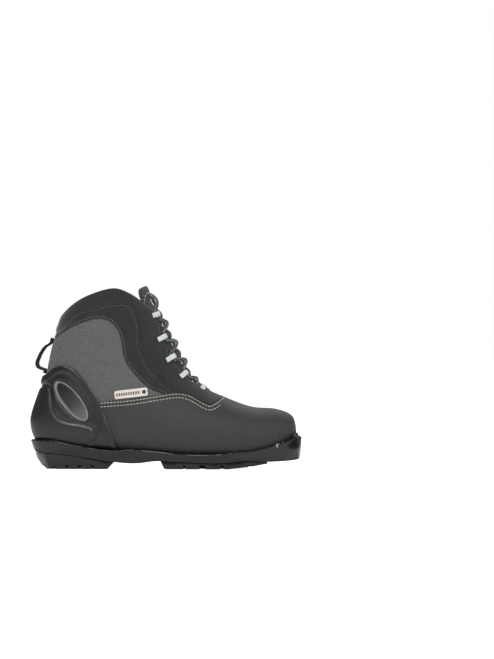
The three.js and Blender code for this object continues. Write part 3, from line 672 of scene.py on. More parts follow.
# %% Route of the lace
GAP = 0.35
COLLAR_RISE, COLLAR_INNER = 0.4, -1.8
TONGUE_OUTER, TONGUE_WALL = -4.35, 6.0
LACE = 3.4
LOOP_WIDTH, TAPE = 5.5, 0.8
LOOP_STATIONS = [0.475, 0.585, 0.682, 0.783, 0.884]
FIRST_CROSSING, TOP_CROSSING = 0.445, 0.926
TAIL_STATIONS = [0.912, 0.87, 0.825, 0.78, 0.735]
LACE_HEIGHT = COLLAR_INNER - 2 * GAP + 0.3 + LACE / 2
LACE_INSET = LACE / 2 + 2.6
LACE_LOW = TONGUE_OUTER + 1.6 * GAP + LACE / 2
LACE_OVER = LACE_LOW + LACE + GAP


def on_last(u, v, offset=0.0):
    return (skin(u, v) + outward(u, v) * offset)[0]


def width_along(widths, start, end):
    return lambda s: float(through(widths, np.array([np.clip((s - start) / (end - start), 0, 1)]))[0, 0])


lacing_width = width_along(LACING_HALF_WIDTH, 6, SHIN + 60)
tongue_width = width_along(TONGUE_HALF_WIDTH, -6, SHIN)


def edge_frame(u, side, width_at, offset=0.0):
    """Where the boot is a given width across at station u: the point, up the shin, to the middle, and out."""
    low, high = 0.02, 0.25
    for _ in range(22):
        v = (low + high) / 2
        p = on_last(u, v if side < 0 else 0.5 - v, offset)
        low, high = (v, high) if abs(p[1]) > width_at(float(up_shin(p[None])[0])) else (low, v)
    v = low if side < 0 else 0.5 - low
    out = outward(u, v)[0]
    inward = (skin(u, v - side * 1e-3) - skin(u, v))[0]
    inward -= out * (inward @ out)
    inward /= np.linalg.norm(inward)
    return on_last(u, v, offset), np.cross(inward, out) * side, inward, out


def lace_half(first_side):
    points, side = [], first_side
    for i, u in enumerate(LOOP_STATIONS):
        origin, along, inward, out = edge_frame(u, side, lacing_width)
        in_loop = origin + inward * LACE_INSET + out * LACE_HEIGHT
        points += [in_loop + along * k * (LOOP_WIDTH / 2 + 1.2) for k in (-1, 0, 1)]
        crossing = (u + LOOP_STATIONS[i + 1]) / 2 if i < 4 else TOP_CROSSING
        offset = LACE_OVER if (first_side < 0) == (i % 2 == 0) else LACE_LOW
        beside = max((offset + LACE_HEIGHT) / 2, LACE_LOW + 0.6)
        points += [on_last(crossing - k * (crossing - u) / 3, 0.25 + side * k * 0.034, beside if k else offset)
                   for k in (1, 0, -1)]
        side = -side
    tucked = lambda s: tongue_width(s) + GAP + LACE / 2
    origin, _, inward, out = edge_frame(0.946, side, tucked)
    points.append(origin + inward * 2.4 - out * 0.6)
    depth = COLLAR_INNER - GAP - LACE / 2 - 1
    points += [edge_frame(u, side, tucked, depth)[0] for u in TAIL_STATIONS]
    return points


def smooth_route(points, spacing):
    """An even, smooth route through points."""
    P = np.array([2 * np.array(points[0]) - points[1], *points, 2 * np.array(points[-1]) - points[-2]])
    out = []
    for a, b, c, d in zip(P, P[1:], P[2:], P[3:]):
        g = [max(np.linalg.norm(q - p), 1e-6) ** 0.5 for p, q in ((a, b), (b, c), (c, d))]
        t1 = ((b - a) / g[0] - (c - a) / (g[0] + g[1]) + (c - b) / g[1]) * g[1]
        t2 = ((c - b) / g[1] - (d - b) / (g[1] + g[2]) + (d - c) / g[2]) * g[1]
        for w in np.linspace(0, 1, 24, endpoint=False):
            out.append(b + t1 * w + (3 * c - 3 * b - 2 * t1 - t2) * w**2 + (2 * b - 2 * c + t1 + t2) * w**3)
    return even(np.array(out + [P[-2]]), spacing)


def even(route, spacing):
    run = np.concatenate([[0], np.cumsum(np.linalg.norm(np.diff(route, axis=0), axis=1))])
    at = np.linspace(0, run[-1], max(2, int(round(run[-1] / spacing)) + 1))
    return np.stack([np.interp(at, run, route[:, k]) for k in range(3)], 1)


lace_route = smooth_route(lace_half(1)[::-1] + [on_last(FIRST_CROSSING, 0.25, LACE_LOW)] + lace_half(-1), 1.3)


# %% [markdown]
# A cord, a tape and a bead are one thing to a modeller: a section carried along a route. The section turns
# as little as it can on the way, and the ends are closed with smaller and smaller copies of it. Its UV map
# holds real lengths, along and around, so a braid or a weave follows the cord.

# %% Sections along a route
def swept(name, route, section, side_way=None, ends=1.0):
    """Carries a section, a closed ring of (side, out) points, along a route."""
    route, ring = np.asarray(route, float), np.asarray(section, float)
    way = np.gradient(route, axis=0)
    way /= np.linalg.norm(way, axis=1, keepdims=True)
    if side_way is None:
        side = [np.cross(way[0], [0.3, 0.5, 0.81])]
        for t in way[1:]:
            side.append(side[-1] - t * (side[-1] @ t))
            side[-1] /= np.linalg.norm(side[-1])
        side = np.array(side)
    else:
        side = np.broadcast_to(np.asarray(side_way, float), route.shape).copy()
        side -= way * np.sum(side * way, 1, keepdims=True)
    side /= np.linalg.norm(side, axis=1, keepdims=True)
    out = np.cross(side, way)
    run = np.concatenate([[0], np.cumsum(np.linalg.norm(np.diff(route, axis=0), axis=1))])
    r = ends * np.abs(ring[:, 1]).max()
    cap = ((1.0, 0.35), (0.75, 0.7), (0.35, 0.93))  # how far out, and how wide
    rows = ([(route[0] - way[0] * r * k, s, 0) for k, s in cap]
            + [(route[i], 1.0, i) for i in range(len(route))]
            + [(route[-1] + way[-1] * r * k, s, -1) for k, s in cap[::-1]])
    m = len(ring)
    points = [c + s * (side[i] * a + out[i] * b) for c, s, i in rows for a, b in ring]
    faces = []
    count = len(rows)
    for r in range(count - 1):
        for k in range(m):
            q = (k + 1) % m
            faces.append((r * m + k, (r + 1) * m + k, (r + 1) * m + q, r * m + q))
    faces += [tuple(range(m)), tuple((count - 1) * m + k for k in reversed(range(m)))]
    made = mesh_object(name, points, faces)
    girth = np.concatenate([[0], np.cumsum(np.linalg.norm(np.diff(np.vstack([ring, ring[:1]]), axis=0), axis=1))])
    along = [(run[i] if i >= 0 else run[-1]) for _, _, i in rows]
    layer_uv = made.data.uv_layers.new(name="UVMap")
    for poly in made.data.polygons:
        verts = list(poly.vertices)
        wraps = any(v % m == 0 for v in verts) and any(v % m == m - 1 for v in verts)
        for loop, v in zip(poly.loop_indices, verts):
            k = v % m
            layer_uv.data[loop].uv = (along[v // m] * MM, girth[m if wraps and k == 0 else k] * MM)
    return point_out(made)


def point_out(obj):
    """Merges doubles and turns all faces out."""
    work = bmesh.new()
    work.from_mesh(obj.data)
    bmesh.ops.remove_doubles(work, verts=work.verts, dist=1e-6)
    bmesh.ops.recalc_face_normals(work, faces=work.faces)
    work.to_mesh(obj.data)
    work.free()
    return obj


def round_section(radius, sides=10):
    a = np.arange(sides) * 2 * np.pi / sides
    return np.stack([np.cos(a), np.sin(a)], 1) * radius


def tape_section(width, thickness, corner=4):
    """A flat band with round edges."""
    r = thickness / 2
    ring = []
    for cx, start in ((width / 2 - r, -90), (-(width / 2 - r), 90)):
        turns = [math.radians(start + k * 180 / corner) for k in range(corner + 1)]
        ring += [(cx + r * math.cos(a), r * math.sin(a)) for a in turns]
    return ring


# %% Lace and its tips
lace = swept("lace_cord", lace_route, round_section(LACE / 2, 12), ends=0.3)
wear(lace, "boot", "lace_weave", lace_braid, "lace")
for side, at, before in (("lateral", 0, 1), ("medial", -1, -2)):
    way = lace_route[at] - lace_route[before]
    way /= np.linalg.norm(way)
    start = lace_route[at] + way * (GAP + 0.6)
    route = np.array([start + way * k for k in np.linspace(0, 17.0, 14)])
    tip = swept(f"lace_tip_{side}_sleeve", route, round_section(1.5, 12), ends=0.6)
    wear(tip, "boot", "stiff_sheet", stiff_sheet, f"lace_tip_{side}")

# %% [markdown]
# ## The vamp
# The vamp is the soft shell over the toes and the sides of the foot, cut from one sheet and pulled down over
# the last. Its top edge is folded in, so it is round. It has a hole under the foot, which the board closes.

# %% Vamp
BOARD_OUTLINE = [[112, 4], [100, 22], [62, 26], [0, 21], [-60, 19], [-108, 16], [-118, 0], [-108, -16], [-60, -20],
                 [0, -23], [62, -25], [98, -18]]


def outside_plan(points, grow=0.0):
    """Signed distance out of a closed outline seen from above."""
    ring = through(points + points[:1], np.linspace(0, 1, 90))

    def distance(p):
        a, b = ring[:-1], ring[1:]
        far = np.full(len(p), 1e9)
        inside = np.zeros(len(p), bool)
        for s, e in zip(a, b):
            rel, d = p[:, :2] - s, e - s
            t = np.clip(rel @ d / max(d @ d, 1e-9), 0, 1)
            far = np.minimum(far, np.linalg.norm(rel - t[:, None] * d, axis=1))
            cross = (s[1] > p[:, 1]) != (e[1] > p[:, 1])
            inside ^= cross & (p[:, 0] < d[0] * (p[:, 1] - s[1]) / (d[1] if d[1] else 1e-9) + s[0])
        return np.where(p[:, 2] > 30, 50, np.where(inside, -far, far) - grow)
    return distance


whole = cells(0.0, 0.82, 150, 0, 1, 120, 1.25)
vamp = layer("vamp_shell", whole, [below(VAMP_EDGE), outside_plan(BOARD_OUTLINE, 0.6)], 0.0, -1.8, 0.5)
wear(vamp, "boot", "synthetic_upper", vamp_leather, "vamp")


# %% [markdown]
# ## Ankle panels and collar
# A woven panel covers each side of the ankle, a little lower than its neighbours. The felt collar frames it
# and the opening. A groove is sewn into the collar a finger's width from its edge, and the rim beyond it is
# puffed up by the foam underneath.

# %% Panels and collar
def half(side):
    return lambda p: side * p[:, 1] - 0.2


def near(base, line, width):
    return np.exp(-(to_line(base[:, [0, 2]], line) / width) ** 2)


def collar_outer(base, uv):
    d = to_line(base[:, [0, 2]], GROOVE_LINE)
    puffed = 0.9 * step(d, 0.5, 4.5) * step(-to_line(base[:, [0, 2]], COLLAR_TOP), -1, 4)
    return COLLAR_RISE - 1.5 * np.exp(-(d / 1.5) ** 2) + puffed


def panel_outer(base, uv):
    inset = np.minimum(-to_line(base[:, [0, 2]], PANEL_EDGE), to_line(base[:, [0, 2]], VAMP_EDGE))
    return -0.9 + 0.75 * step(inset, 0, 7)


for side, name, v0 in ((-1, "lateral", -0.25), (1, "medial", 0.25)):
    grid = cells(0.5, 1.0, 90, v0, v0 + 0.5, 70)
    panel = layer(f"ankle_panel_{name}_cloth", grid, [half(side), above(VAMP_EDGE, GAP), below(PANEL_EDGE, 0.17),
                                                     below(COLLAR_TOP)], panel_outer, -1.9, 0.2)
    wear(panel, "boot", "woven_grey", panel_twill, f"ankle_panel_{name}")
    grid = cells(0.36, 1.0, 120, v0, v0 + 0.5, 80)
    collar = layer(f"collar_{name}_felt", grid, [half(side), above(VAMP_EDGE, GAP), below(COLLAR_TOP),
                                                above(PANEL_EDGE, 0.17), beside_lacing], collar_outer, -1.8, 0.7)
    wear(collar, "boot", "felt_black", felt, f"collar_{name}")


# %% [markdown]
# ## Padding, lining and tongue
# Between the collar and the lining lies soft foam, which gives the ankle its round look from above. The
# tongue is a thick pad of spacer mesh behind the lace, with a bound edge.

# %% Padding, lining and tongue
def deeper(uv):
    return 4.0 * step(uv[:, 0], 0.62, 0.74)


BAY = TONGUE_HALF_WIDTH + LACE + 3 * GAP
SHAFT_STEP = (SHIN + 6) / 5
beside_bay = beside_opening(np.vstack([BAY, BAY[-1:]]), -6, SHIN + SHAFT_STEP, 12)
over_ankle = np.array([[-170, 40], [-112, 58], [-62, 92], [20, 116]], float)
pad = layer("collar_padding_foam", cells(0.55, 1.0, 100, 0, 1, 130),
            [above(over_ankle), below(COLLAR_TOP, 1.5), beside_bay],
            -2.15, lambda base, uv: -3.15 - deeper(uv), 1.2, 7)
wear(pad, "boot", "foam", foam_cloth, "collar_padding")
lining = layer("lining_cloth", cells(0.0, 1.0, 150, 0, 1, 110, 1.25), [below(COLLAR_TOP, 1.5), beside_bay],
               lambda base, uv: -3.5 - deeper(uv), lambda base, uv: -5.5 - deeper(uv), 0.7)
wear(lining, "boot", "foam", foam_cloth, "lining")
CROSSINGS = np.array([FIRST_CROSSING] + [(a + b) / 2 for a, b in zip(LOOP_STATIONS, LOOP_STATIONS[1:])]
                     + [TOP_CROSSING, 1.03])
TONGUE_BULGE = 5.0


def between_crossings(uv):
    """1 on the middle of the tongue halfway between two crossings of the lace, 0 where the lace lies."""
    place = np.interp(uv[:, 0], CROSSINGS, np.arange(len(CROSSINGS)))
    wave = np.sin(np.pi * place) ** 2
    wave = np.maximum(wave, step(uv[:, 0], 0.935, 0.96))
    return wave * np.exp(-((uv[:, 1] - 0.25) / 0.05) ** 2)


def tongue_outer(base, uv):
    return TONGUE_OUTER - 1.3 * (1 - step(on_tongue(base), 0.5, 7)) + TONGUE_BULGE * between_crossings(uv)


tongue = layer("tongue_pad", cells(0.36, 1.0, 110, 0.02, 0.48, 80), [on_tongue], tongue_outer,
               lambda base, uv: TONGUE_OUTER - TONGUE_WALL + 1.3 * (1 - step(on_tongue(base), 0.5, 7)), 1.3, 7)
wear(tongue, "tongue", "woven_grey", tongue_mesh, "tongue")


# %% [markdown]
# ## Heel counter
# The counter is a moulded shell glued over the heel. Its front and top edge is a smooth raised band, a
# channel in the shape of a C is pressed into each side, and an oval pocket takes the badge.

# %% Heel counter
BADGE_CENTRE, BADGE_TILT = np.array([-102.5, 73.9]), math.radians(-52)
BADGE_LONG, BADGE_SHORT = 26, 9.7  # half its length and width


def badge_inset(p, grow=0.0):
    """Distance in from the edge of the oval, about, on the outer side of the boot only."""
    rel = p[:, [0, 2]] - BADGE_CENTRE
    along = rel[:, 0] * math.cos(BADGE_TILT) + rel[:, 1] * math.sin(BADGE_TILT)
    side = -rel[:, 0] * math.sin(BADGE_TILT) + rel[:, 1] * math.cos(BADGE_TILT)
    r = np.hypot(along / (BADGE_LONG + grow), side / (BADGE_SHORT + grow))
    scale = np.hypot(along, side) / np.maximum(r, 1e-6)
    return np.where(p[:, 1] < 0, (1 - r) * np.where(r > 0.05, scale, BADGE_SHORT), -50)


def counter_outer(base, uv):
    edge = -to_line(base[:, [0, 2]], COUNTER_EDGE)
    band = 0.75 * step(edge, -1, 1.5) * (1 - step(edge, 5.2, 7.6))
    channel = 1.9 * near(base, CHANNEL_LINE, 1.6)
    pocket = 1.3 * step(badge_inset(base, 1.2), -0.9, 0.5)
    return 3.15 + band - np.where(edge > 7, channel, 0) - pocket


counter = layer("heel_counter_shell", cells(0.52, 0.9, 150, 0.3, 1.2, 200),
                [below(COUNTER_EDGE), above(RIM, GAP)], counter_outer, 0.75, 0.7, 6)
wear(counter, "boot", "counter_plastic", counter_plastic, "heel_counter")

# %% [markdown]
# The badge is a moulded oval with a raised ring. What is printed on the real one is left out. Its face turns
# slowly from dark to grey, and the ring is lighter.

# %% Badge and label
def badge_ring(p):
    rel = p[:, [0, 2]] - BADGE_CENTRE
    return 1.0 + 0.9 * step(-(rel[:, 0] + rel[:, 1]) / 20, -0.2, 1.0)


def badge_outer(base, uv):
    inset = badge_inset(base)
    ring = badge_ring(base)
    raised = 0.55 * step(inset, 0, 0.6) * (1 - step(inset - ring, -0.3, 0.5))
    return 3.65 + raised - 0.25 * step(inset - ring, 0, 0.8)


def badge_finish():
    made, tree, base = finish_material("pad_printed_plastic", Coat_Weight=0.2, Coat_Roughness=0.2)
    where = place_of(tree)
    axes = node(tree, "ShaderNodeSeparateXYZ", i0=where)
    down = math_node(tree, "MULTIPLY_ADD", (axes, 0), 14.0, math_node(tree, "MULTIPLY_ADD", (axes, 2), -16.0, 3.05))
    wobble = noise(tree, where, 9, 2)
    face = math_node(tree, "MULTIPLY_ADD", wobble, 0.18, down)
    face = ramp(tree, face, [(0.2, "#141515"), (0.6, "#333434"), (0.98, "#646565")])
    ring = (node(tree, "ShaderNodeAttribute", {"attribute_name": "ring"}), 2)
    link_to(tree, mixed(tree, ring, face, rgb("#868988")), base, "Base Color")
    link_to(tree, remap(tree, wobble, to_low=0.3, to_high=0.45), base, "Roughness")
    bump(tree, base, noise(tree, where, 0.8, 2), 0.03)
    return made


badge = layer("badge_oval", cells(0.58, 0.9, 150, -0.25, 0.22, 150), [badge_inset], badge_outer, 2.05, 0.35)
coords = np.array([v.co for v in badge.data.vertices]) / MM
mark = badge.data.attributes.new("ring", "FLOAT", "POINT")
mark.data.foreach_set("value", (1 - step(badge_inset(coords) - badge_ring(coords), -0.3, 0.4)).astype(np.float32))
wear(badge, "boot", "badge_plastic", badge_finish(), "counter_badge")

LABEL = np.array([[-56.6, 85], [-20.8, 89.2], [-19.6, 80.4], [-55.4, 76.3]], float)


def label_inset(p):
    inset = np.full(len(p), 50.0)
    for a, b in zip(LABEL, np.roll(LABEL, -1, 0)):
        e = (b - a) / np.linalg.norm(b - a)
        rel = p[:, [0, 2]] - a
        inset = np.minimum(inset, -(e[0] * rel[:, 1] - e[1] * rel[:, 0]))
    return np.where(p[:, 1] < 0, inset, -50)


LABEL_SLOPE, LABEL_HEIGHT, LABEL_MIDDLE = 0.117, 0.08726, -0.0410  # metres, of the line that the bars stand on
BAR_PITCH, BAR_ROW, DISC_PLACE = 0.0026, 0.0133, 0.0172


def label_finish():
    """Woven white tape with a row of plain bars and a disc."""
    made, tree, base = finish_material("printed_white_tape", Roughness=0.8)
    axes = node(tree, "ShaderNodeSeparateXYZ", i0=place_of(tree))
    level = math_node(tree, "ADD", (axes, 2), -LABEL_HEIGHT)
    off_line = math_node(tree, "MULTIPLY_ADD", (axes, 0), -LABEL_SLOPE, level)
    along = math_node(tree, "ADD", (axes, 0), -LABEL_MIDDLE)
    line = remap(tree, math_node(tree, "ABSOLUTE", off_line), 0.0018, 0.0014)
    wave = math_node(tree, "SINE", times(tree, along, 2 * math.pi / BAR_PITCH))
    reach = remap(tree, math_node(tree, "ABSOLUTE", along), BAR_ROW, BAR_ROW - 0.0004)
    bars = times(tree, times(tree, line, remap(tree, wave, -0.45, -0.2)), reach)
    aside = math_node(tree, "ADD", along, -DISC_PLACE)
    square = math_node(tree, "MULTIPLY_ADD", aside, aside, times(tree, off_line, off_line))
    disc = remap(tree, math_node(tree, "SQRT", square), 0.0024, 0.0021)
    grain = noise(tree, place_of(tree), 0.9, 2)
    paper = ramp(tree, grain, [(0.3, "#d3c8bd"), (0.7, "#ece3da")])
    ink = math_node(tree, "MAXIMUM", bars, disc)
    link_to(tree, mixed(tree, ink, paper, rgb("#3b3937")), base, "Base Color")
    bump(tree, base, grain, 0.1)
    return made


label = layer("side_label_tape", cells(0.5, 0.9, 170, -0.12, 0.14, 80), [label_inset], 0.6, -0.2, 0.15, 4)
wear(label, "boot", "white_tape", label_finish(), "side_label")


# %% [markdown]
# ## Lace loops and pull loop
# Each lace loop is a short white tape, folded round the lace and sewn under the collar's edge. The pull loop
# at the heel is a stronger black tape, sewn at both ends so that a finger fits behind it.

# %% Loops
tape_low = COLLAR_INNER - 2.8 * GAP - TAPE / 2
tape_high = LACE_HEIGHT + LACE / 2 + 0.7 + TAPE / 2
on_collar = COLLAR_RISE + 3.6 * GAP + TAPE / 2
tape_end = LACE_INSET + LACE / 2 + 1.6 + TAPE / 2
HAIRPIN = [[-6.6, on_collar + 0.2], [-4.0, on_collar + 0.3], [-0.5, on_collar + 0.1],
           [LACE_INSET - 0.8, tape_high], [tape_end - 0.9, tape_high - 0.9], [tape_end, (tape_low + tape_high) / 2],
           [tape_end - 0.9, tape_low + 0.7], [LACE_INSET - 0.8, tape_low], [-3, tape_low]]
for side, name in ((-1, "lateral"), (1, "medial")):
    for i, u in enumerate(LOOP_STATIONS):
        origin, along, inward, out = edge_frame(u, side, lacing_width)
        flat = through(HAIRPIN, np.linspace(0, 1, 40))
        route = origin + flat[:, :1] * inward + flat[:, 1:] * out
        loop = swept(f"lace_loop_{name}_{i + 1}_tape", even(route, 0.6), tape_section(LOOP_WIDTH, TAPE), along, 0.2)
        wear(loop, "boot", "white_tape", white_tape, f"lace_loop_{name}_{i + 1}")


def heel_at(z):
    line = through(BACK, np.linspace(0.7, 1, 400))
    return float(np.interp(z, line[:, 1], line[:, 0]))


stand = COLLAR_RISE + GAP + 0.75
PULL = [[heel_at(143) - stand, 143], [heel_at(139) - stand, 139], [heel_at(136.5) - stand - 1.5, 136.6],
        [-133, 133.5], [-137, 128], [-140, 122], [-142, 116], [-141, 111.8], [-137.5, 109.8], [heel_at(108.5) - stand - 0.6, 108.2],
        [heel_at(104) - stand, 104.5]]
flat = through(PULL, np.linspace(0, 1, 120))
pull = swept("pull_loop_webbing", even(np.stack([flat[:, 0], 0 * flat[:, 0], flat[:, 1]], 1), 0.8),
             tape_section(9, 2.2, 6), (0.32, 0.94, 0.1), 0.3)
wear(pull, "boot", "black_tape", black_tape, "pull_loop")


# %% [markdown]
# ## Sole
# The frame of the sole is one moulded piece: a wall that climbs round the foot, and a floor with a slot for
# the steel bar at the toe. The wall is a shell of the wider last, cut at its rim and at its underside. The
# floor fills the outline that the wall leaves at the bottom.

# %% Sole frame
def cup(u, v):
    return skin(u, v, CHASSIS_BACK, 4.4)


def cup_out(u, v):
    return outward(u, v, CHASSIS_BACK, 4.4)


def wall_outer(base, uv):
    edge = -to_line(base[:, [0, 2]], RIM)
    return 0.45 * step(edge, -0.5, 0.6) * (1 - step(edge, 1.4, 2.4))


wall = layer("sole_wall", cells(0.0, 0.8, 210, 0, 1, 150, 1.3), [below(RIM), above(UNDERSIDE)],
             wall_outer, -3.4, 0.5, 6, cup, cup_out)
bottom = np.array([v.co for v in wall.data.vertices]) / MM
bottom = bottom[np.abs(to_line(bottom[:, [0, 2]], UNDERSIDE)) < 0.25]
print("sole outline points", len(bottom))


def outline_width(x, side):
    """Half width of the sole at its underside, from the wall."""
    low = bottom[bottom[:, 1] * side > 0]
    return np.array([np.abs(low[np.abs(low[:, 0] - at) < 3, 1]).max(initial=0.5) for at in x])


FLOOR = 2.8
stations = np.linspace(bottom[:, 0].min() + 1.5, bottom[:, 0].max() - 1.5, 110)
low_z = np.interp(stations, UNDERSIDE[:, 0], UNDERSIDE[:, 1])
toe_fill = step(stations, 104, 116) * (20.3 - low_z - FLOOR)
high_z = low_z + FLOOR + np.maximum(toe_fill, 0)
left, right = outline_width(stations, -1) - 0.9, outline_width(stations, 1) - 0.9
lanes = 24
t = np.linspace(0, 1, lanes)
floor_points = []
for z in (low_z + 0.02, high_z):
    for x, l, r, h in zip(stations, left, right, z):
        floor_points += [(x, -l + (l + r) * k, h) for k in t]
n = len(stations) * lanes
floor_faces = []
for i in range(len(stations) - 1):
    for k in range(lanes - 1):
        a, b = i * lanes + k, i * lanes + k + 1
        floor_faces += [(a, b, b + lanes, a + lanes), (n + a, n + a + lanes, n + b + lanes, n + b)]
    for k in (0, lanes - 1):
        a = i * lanes + k
        floor_faces.append((a, a + lanes, n + a + lanes, n + a))
for i in (0, len(stations) - 1):
    for k in range(lanes - 1):
        a = i * lanes + k
        floor_faces.append((a, n + a, n + a + 1, a + 1))
sole_floor = point_out(mesh_object("sole_floor", floor_points, floor_faces, False))


def cut_away(obj, x, y, z):
    """Cuts a box-shaped room out of a piece."""
    pick()
    bpy.ops.mesh.primitive_cube_add(size=1, location=[(a + b) / 2 * MM for a, b in (x, y, z)])
    room = bpy.context.object
    room.scale = [(b - a) * MM for a, b in (x, y, z)]
    bpy.ops.object.transform_apply(location=True, rotation=True, scale=True)
    cutter = obj.modifiers.new("room", "BOOLEAN")
    cutter.operation = "DIFFERENCE"
    cutter.solver = "EXACT"
    cutter.object = room
    pick(obj)
    bpy.ops.object.modifier_apply(modifier=cutter.name)
    bpy.data.objects.remove(room)


cut_away(sole_floor, (123.5, 138.5), (-15, 15), (-5, 17.7))
cut_away(sole_floor, (128.6, 133.4), (-19.4, 19.4), (9.8, 14.6))
pick(sole_floor, wall)
bpy.ops.object.join()
wall.name = "sole_frame"
pick(wall)
bpy.ops.object.shade_smooth_by_angle(angle=math.radians(38))
wear(wall, "boot", "gloss_black", gloss_plastic, "sole_chassis")


# %% [markdown]
# The treads are two blocks of rubber. Each starts from its engineering solid: its loose triangles are merged
# and its flat faces joined, and then every edge gets a small round, as a mould leaves it.

# %% Treads
def copy_of(source, name):
    """A copy of an engineering solid, selected and ready to be worked on."""
    made = bpy.data.objects.new(name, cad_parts[source].data.copy())
    bpy.context.collection.objects.link(made)
    pick(made)
    return made


def rounded_copy(source, name, radius):
    made = copy_of(source, name)
    bpy.ops.object.mode_set(mode="EDIT")
    bpy.ops.mesh.select_all(action="SELECT")
    bpy.ops.mesh.remove_doubles(threshold=2e-6)
    bpy.ops.mesh.dissolve_limited(angle_limit=math.radians(1))
    bpy.ops.object.mode_set(mode="OBJECT")
    bevel = made.modifiers.new("round_edges", "BEVEL")
    bevel.width = radius * MM
    bevel.segments = 3
    bevel.limit_method = "ANGLE"
    bevel.angle_limit = math.radians(30)
    bevel.use_clamp_overlap = True
    bpy.ops.object.modifier_apply(modifier=bevel.name)
    bpy.ops.object.shade_smooth_by_angle(angle=math.radians(40))
    print(name, len(made.data.polygons), "faces")
    return made


FLARE_HEIGHT, FLARE_BACK, FLARE_WIDE = 17 * MM, 6.5 * MM, 0.07


def flared(block):
    """Widens the heel block towards its top, backwards and sideways, to meet the frame."""
    for vertex in block.data.vertices:
        p = vertex.co
        lift = min(max(p.z / FLARE_HEIGHT, 0), 1)
        p.x -= FLARE_BACK * lift * min(max((-118 * MM - p.x) / (13 * MM), 0), 1)
        p.y *= 1 + FLARE_WIDE * lift * min(max((-60 * MM - p.x) / (40 * MM), 0), 1)


for tread in ("heel_tread", "forefoot_tread"):
    block = rounded_copy(tread, f"{tread}_block", 0.7)
    if tread == "heel_tread":
        flared(block)
    wear(block, "boot", "tread_rubber", tread_rubber, tread)

# %% [markdown]
# The footbed is a moulded foam insole with a cloth face. It is remeshed into even cells and smoothed, which
# takes the facets out of its engineering solid. The other inner parts lie inside the boot; they keep their solids and
# get new materials.

# %% Footbed and inner parts
footbed = copy_of("footbed", "footbed_insole")
remesh = footbed.modifiers.new("even_cells", "REMESH")
remesh.mode = "VOXEL"
remesh.voxel_size = 0.0016
bpy.ops.object.modifier_apply(modifier=remesh.name)
soften = footbed.modifiers.new("soften", "SMOOTH")
soften.factor, soften.iterations = 0.5, 12
bpy.ops.object.modifier_apply(modifier=soften.name)
bpy.ops.object.shade_smooth()
wear(footbed, "footbed", "foam", foam_cloth, "footbed")
for name, finish in (("toe_puff", stiff_sheet), ("lasting_board", fibreboard), ("midsole_filler", foam_cloth),
                     ("shank", stiff_sheet), ("toe_bar", steel)):
    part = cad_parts[name]
    for slot in part.material_slots:
        slot.link = "OBJECT"
        slot.material = finish


# %% [markdown]
# ## Stitching
# Two rows of white thread hold the vamp to the collar, and finer rows follow the panel and the groove. A
# thick black cord lies in the groove; it is painted shade, a dark line that stands in for the groove's shadow.
# Each stitch is a short piece of thread with round ends that dips into the cloth at both. To lay them on the
# boot, a point of a pattern line is looked up on the last: the nearest of many samples first, then a few
# steps towards it.

# %% Rows of stitches
def on_side(xz, side):
    """Stations (u, v) of the last's skin on one side for points seen from the side."""
    v_here = np.linspace(-0.24, 0.24, 60) + (0 if side < 0 else 0.5)
    uu, vv = np.meshgrid(np.linspace(0.02, 0.99, 160), v_here, indexing="ij")
    uv = np.stack([uu.ravel(), vv.ravel()], 1)
    flat_ = skin(uv[:, 0], uv[:, 1])[:, [0, 2]]
    at = np.array([uv[np.argmin(((flat_ - p) ** 2).sum(1))] for p in xz])
    for _ in range(6):
        here = skin(at[:, 0], at[:, 1])[:, [0, 2]]
        h = 1e-3
        du = (skin(at[:, 0] + h, at[:, 1])[:, [0, 2]] - here) / h
        dv = (skin(at[:, 0], at[:, 1] + h)[:, [0, 2]] - here) / h
        det = du[:, 0] * dv[:, 1] - du[:, 1] * dv[:, 0]
        det = np.where(np.abs(det) < 50, 50 * np.sign(det) + (det == 0), det)
        rest = xz - here
        move = np.stack([(rest[:, 0] * dv[:, 1] - rest[:, 1] * dv[:, 0]) / det,
                         (du[:, 0] * rest[:, 1] - du[:, 1] * rest[:, 0]) / det], 1)
        at += np.clip(move, -0.02, 0.02)
    return at


def shifted(line, by):
    way = np.gradient(line, axis=0)
    way /= np.linalg.norm(way, axis=1, keepdims=True)
    return line + np.stack([-way[:, 1], way[:, 0]], 1) * by


# Each stitch is a row of rings: how far along it, how wide, and how high over the cloth.
STITCH = ((-0.5, 0.3, -0.30), (-0.36, 0.85, -0.05), (0, 1.0, 0.12), (0.36, 0.85, -0.05), (0.5, 0.3, -0.30))


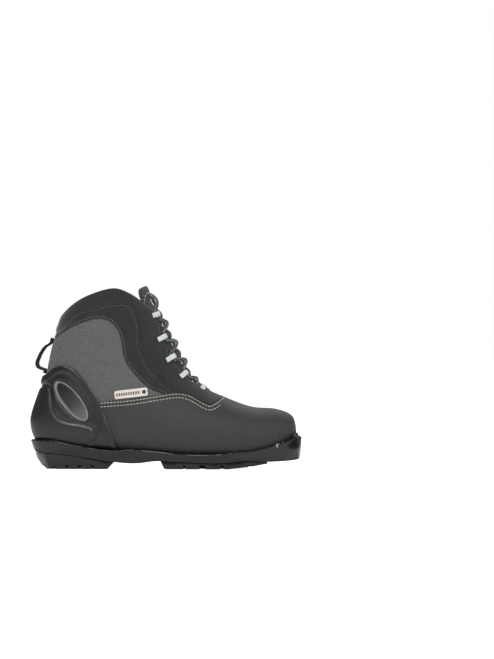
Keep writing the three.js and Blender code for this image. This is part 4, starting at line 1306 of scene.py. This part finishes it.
def stitches(name, line, span, height, pitch=3.6, length=2.7, radius=0.42, keep=None):
    points, faces = [], []
    for side in (-1, 1):
        inside = line[(line[:, 0] > span[0]) & (line[:, 0] < span[1])]
        at = on_side(inside, side)
        where = skin(at[:, 0], at[:, 1])
        up = outward(at[:, 0], at[:, 1])
        if keep is not None:
            ok = keep(where) > 0
            where, up = where[ok], up[ok]
        lift = height(where) if callable(height) else height
        route = where + up * np.broadcast_to(lift, len(where))[:, None]
        run = np.concatenate([[0], np.cumsum(np.linalg.norm(np.diff(route, axis=0), axis=1))])
        for s in np.arange(pitch / 2, run[-1] - pitch / 2, pitch):
            spot = np.array([[np.interp(s + k, run, route[:, j]) for j in range(3)]
                             for k in (-length / 2, 0, length / 2)])
            n = np.array([np.interp(s, run, up[:, j]) for j in range(3)])
            n /= np.linalg.norm(n)
            way = spot[2] - spot[0]
            way /= np.linalg.norm(way)
            across_ = np.cross(n, way)
            start = len(points)
            for k, r, lift_ in STITCH:
                middle = spot[1] + way * k * length + n * lift_
                points += [middle + (across_ * math.cos(a) + n * math.sin(a)) * r * radius
                           for a in np.arange(6) * math.pi / 3]
            for k in range(4):
                for j in range(6):
                    a, b = start + k * 6 + j, start + k * 6 + (j + 1) % 6
                    faces.append((a, b, b + 6, a + 6))
            faces += [tuple(start + j for j in reversed(range(6))), tuple(start + 24 + j for j in range(6))]
    made = point_out(mesh_object(name, points, faces))
    print(name, len(faces) // 26, "stitches")
    return made


def off_lacing(p):
    return beside_lacing(p) - 1


def over_collar(lift):
    return lambda p: collar_outer(p, None) + lift


COLLAR_SPAN = (-118, 6)
for name, line, span, height, size, slot, thread, keep in (
        ("vamp_seam_stitches_upper", shifted(VAMP_EDGE, -1.5), (-76, 66), 0.15, (), "white_tape", white_thread, None),
        ("vamp_seam_stitches_lower", shifted(VAMP_EDGE, -5.4), (-74, 62), 0.15, (), "white_tape", white_thread, None),
        ("panel_edge_stitches", shifted(PANEL_EDGE, 1.6), (-118, 4), over_collar(0.05), (2.6, 1.9, 0.26),
         "felt_black", grey_thread, None),
        # The groove cord is painted shade: overlapping dark stitches that stand in for the shadow in the collar's
        # groove.
        ("collar_groove_cord", GROOVE_LINE, COLLAR_SPAN, over_collar(0.25), (3.0, 3.4, 0.75),
         "felt_black", groove_shade_thread, off_lacing),
        ("collar_groove_stitches", shifted(GROOVE_LINE, -1.9), COLLAR_SPAN, over_collar(0.05), (2.8, 1.2, 0.24),
         "felt_black", grey_thread, off_lacing)):
    seam = stitches(name, line, span, height, *size, keep=keep)
    wear(seam, "boot", slot, thread)
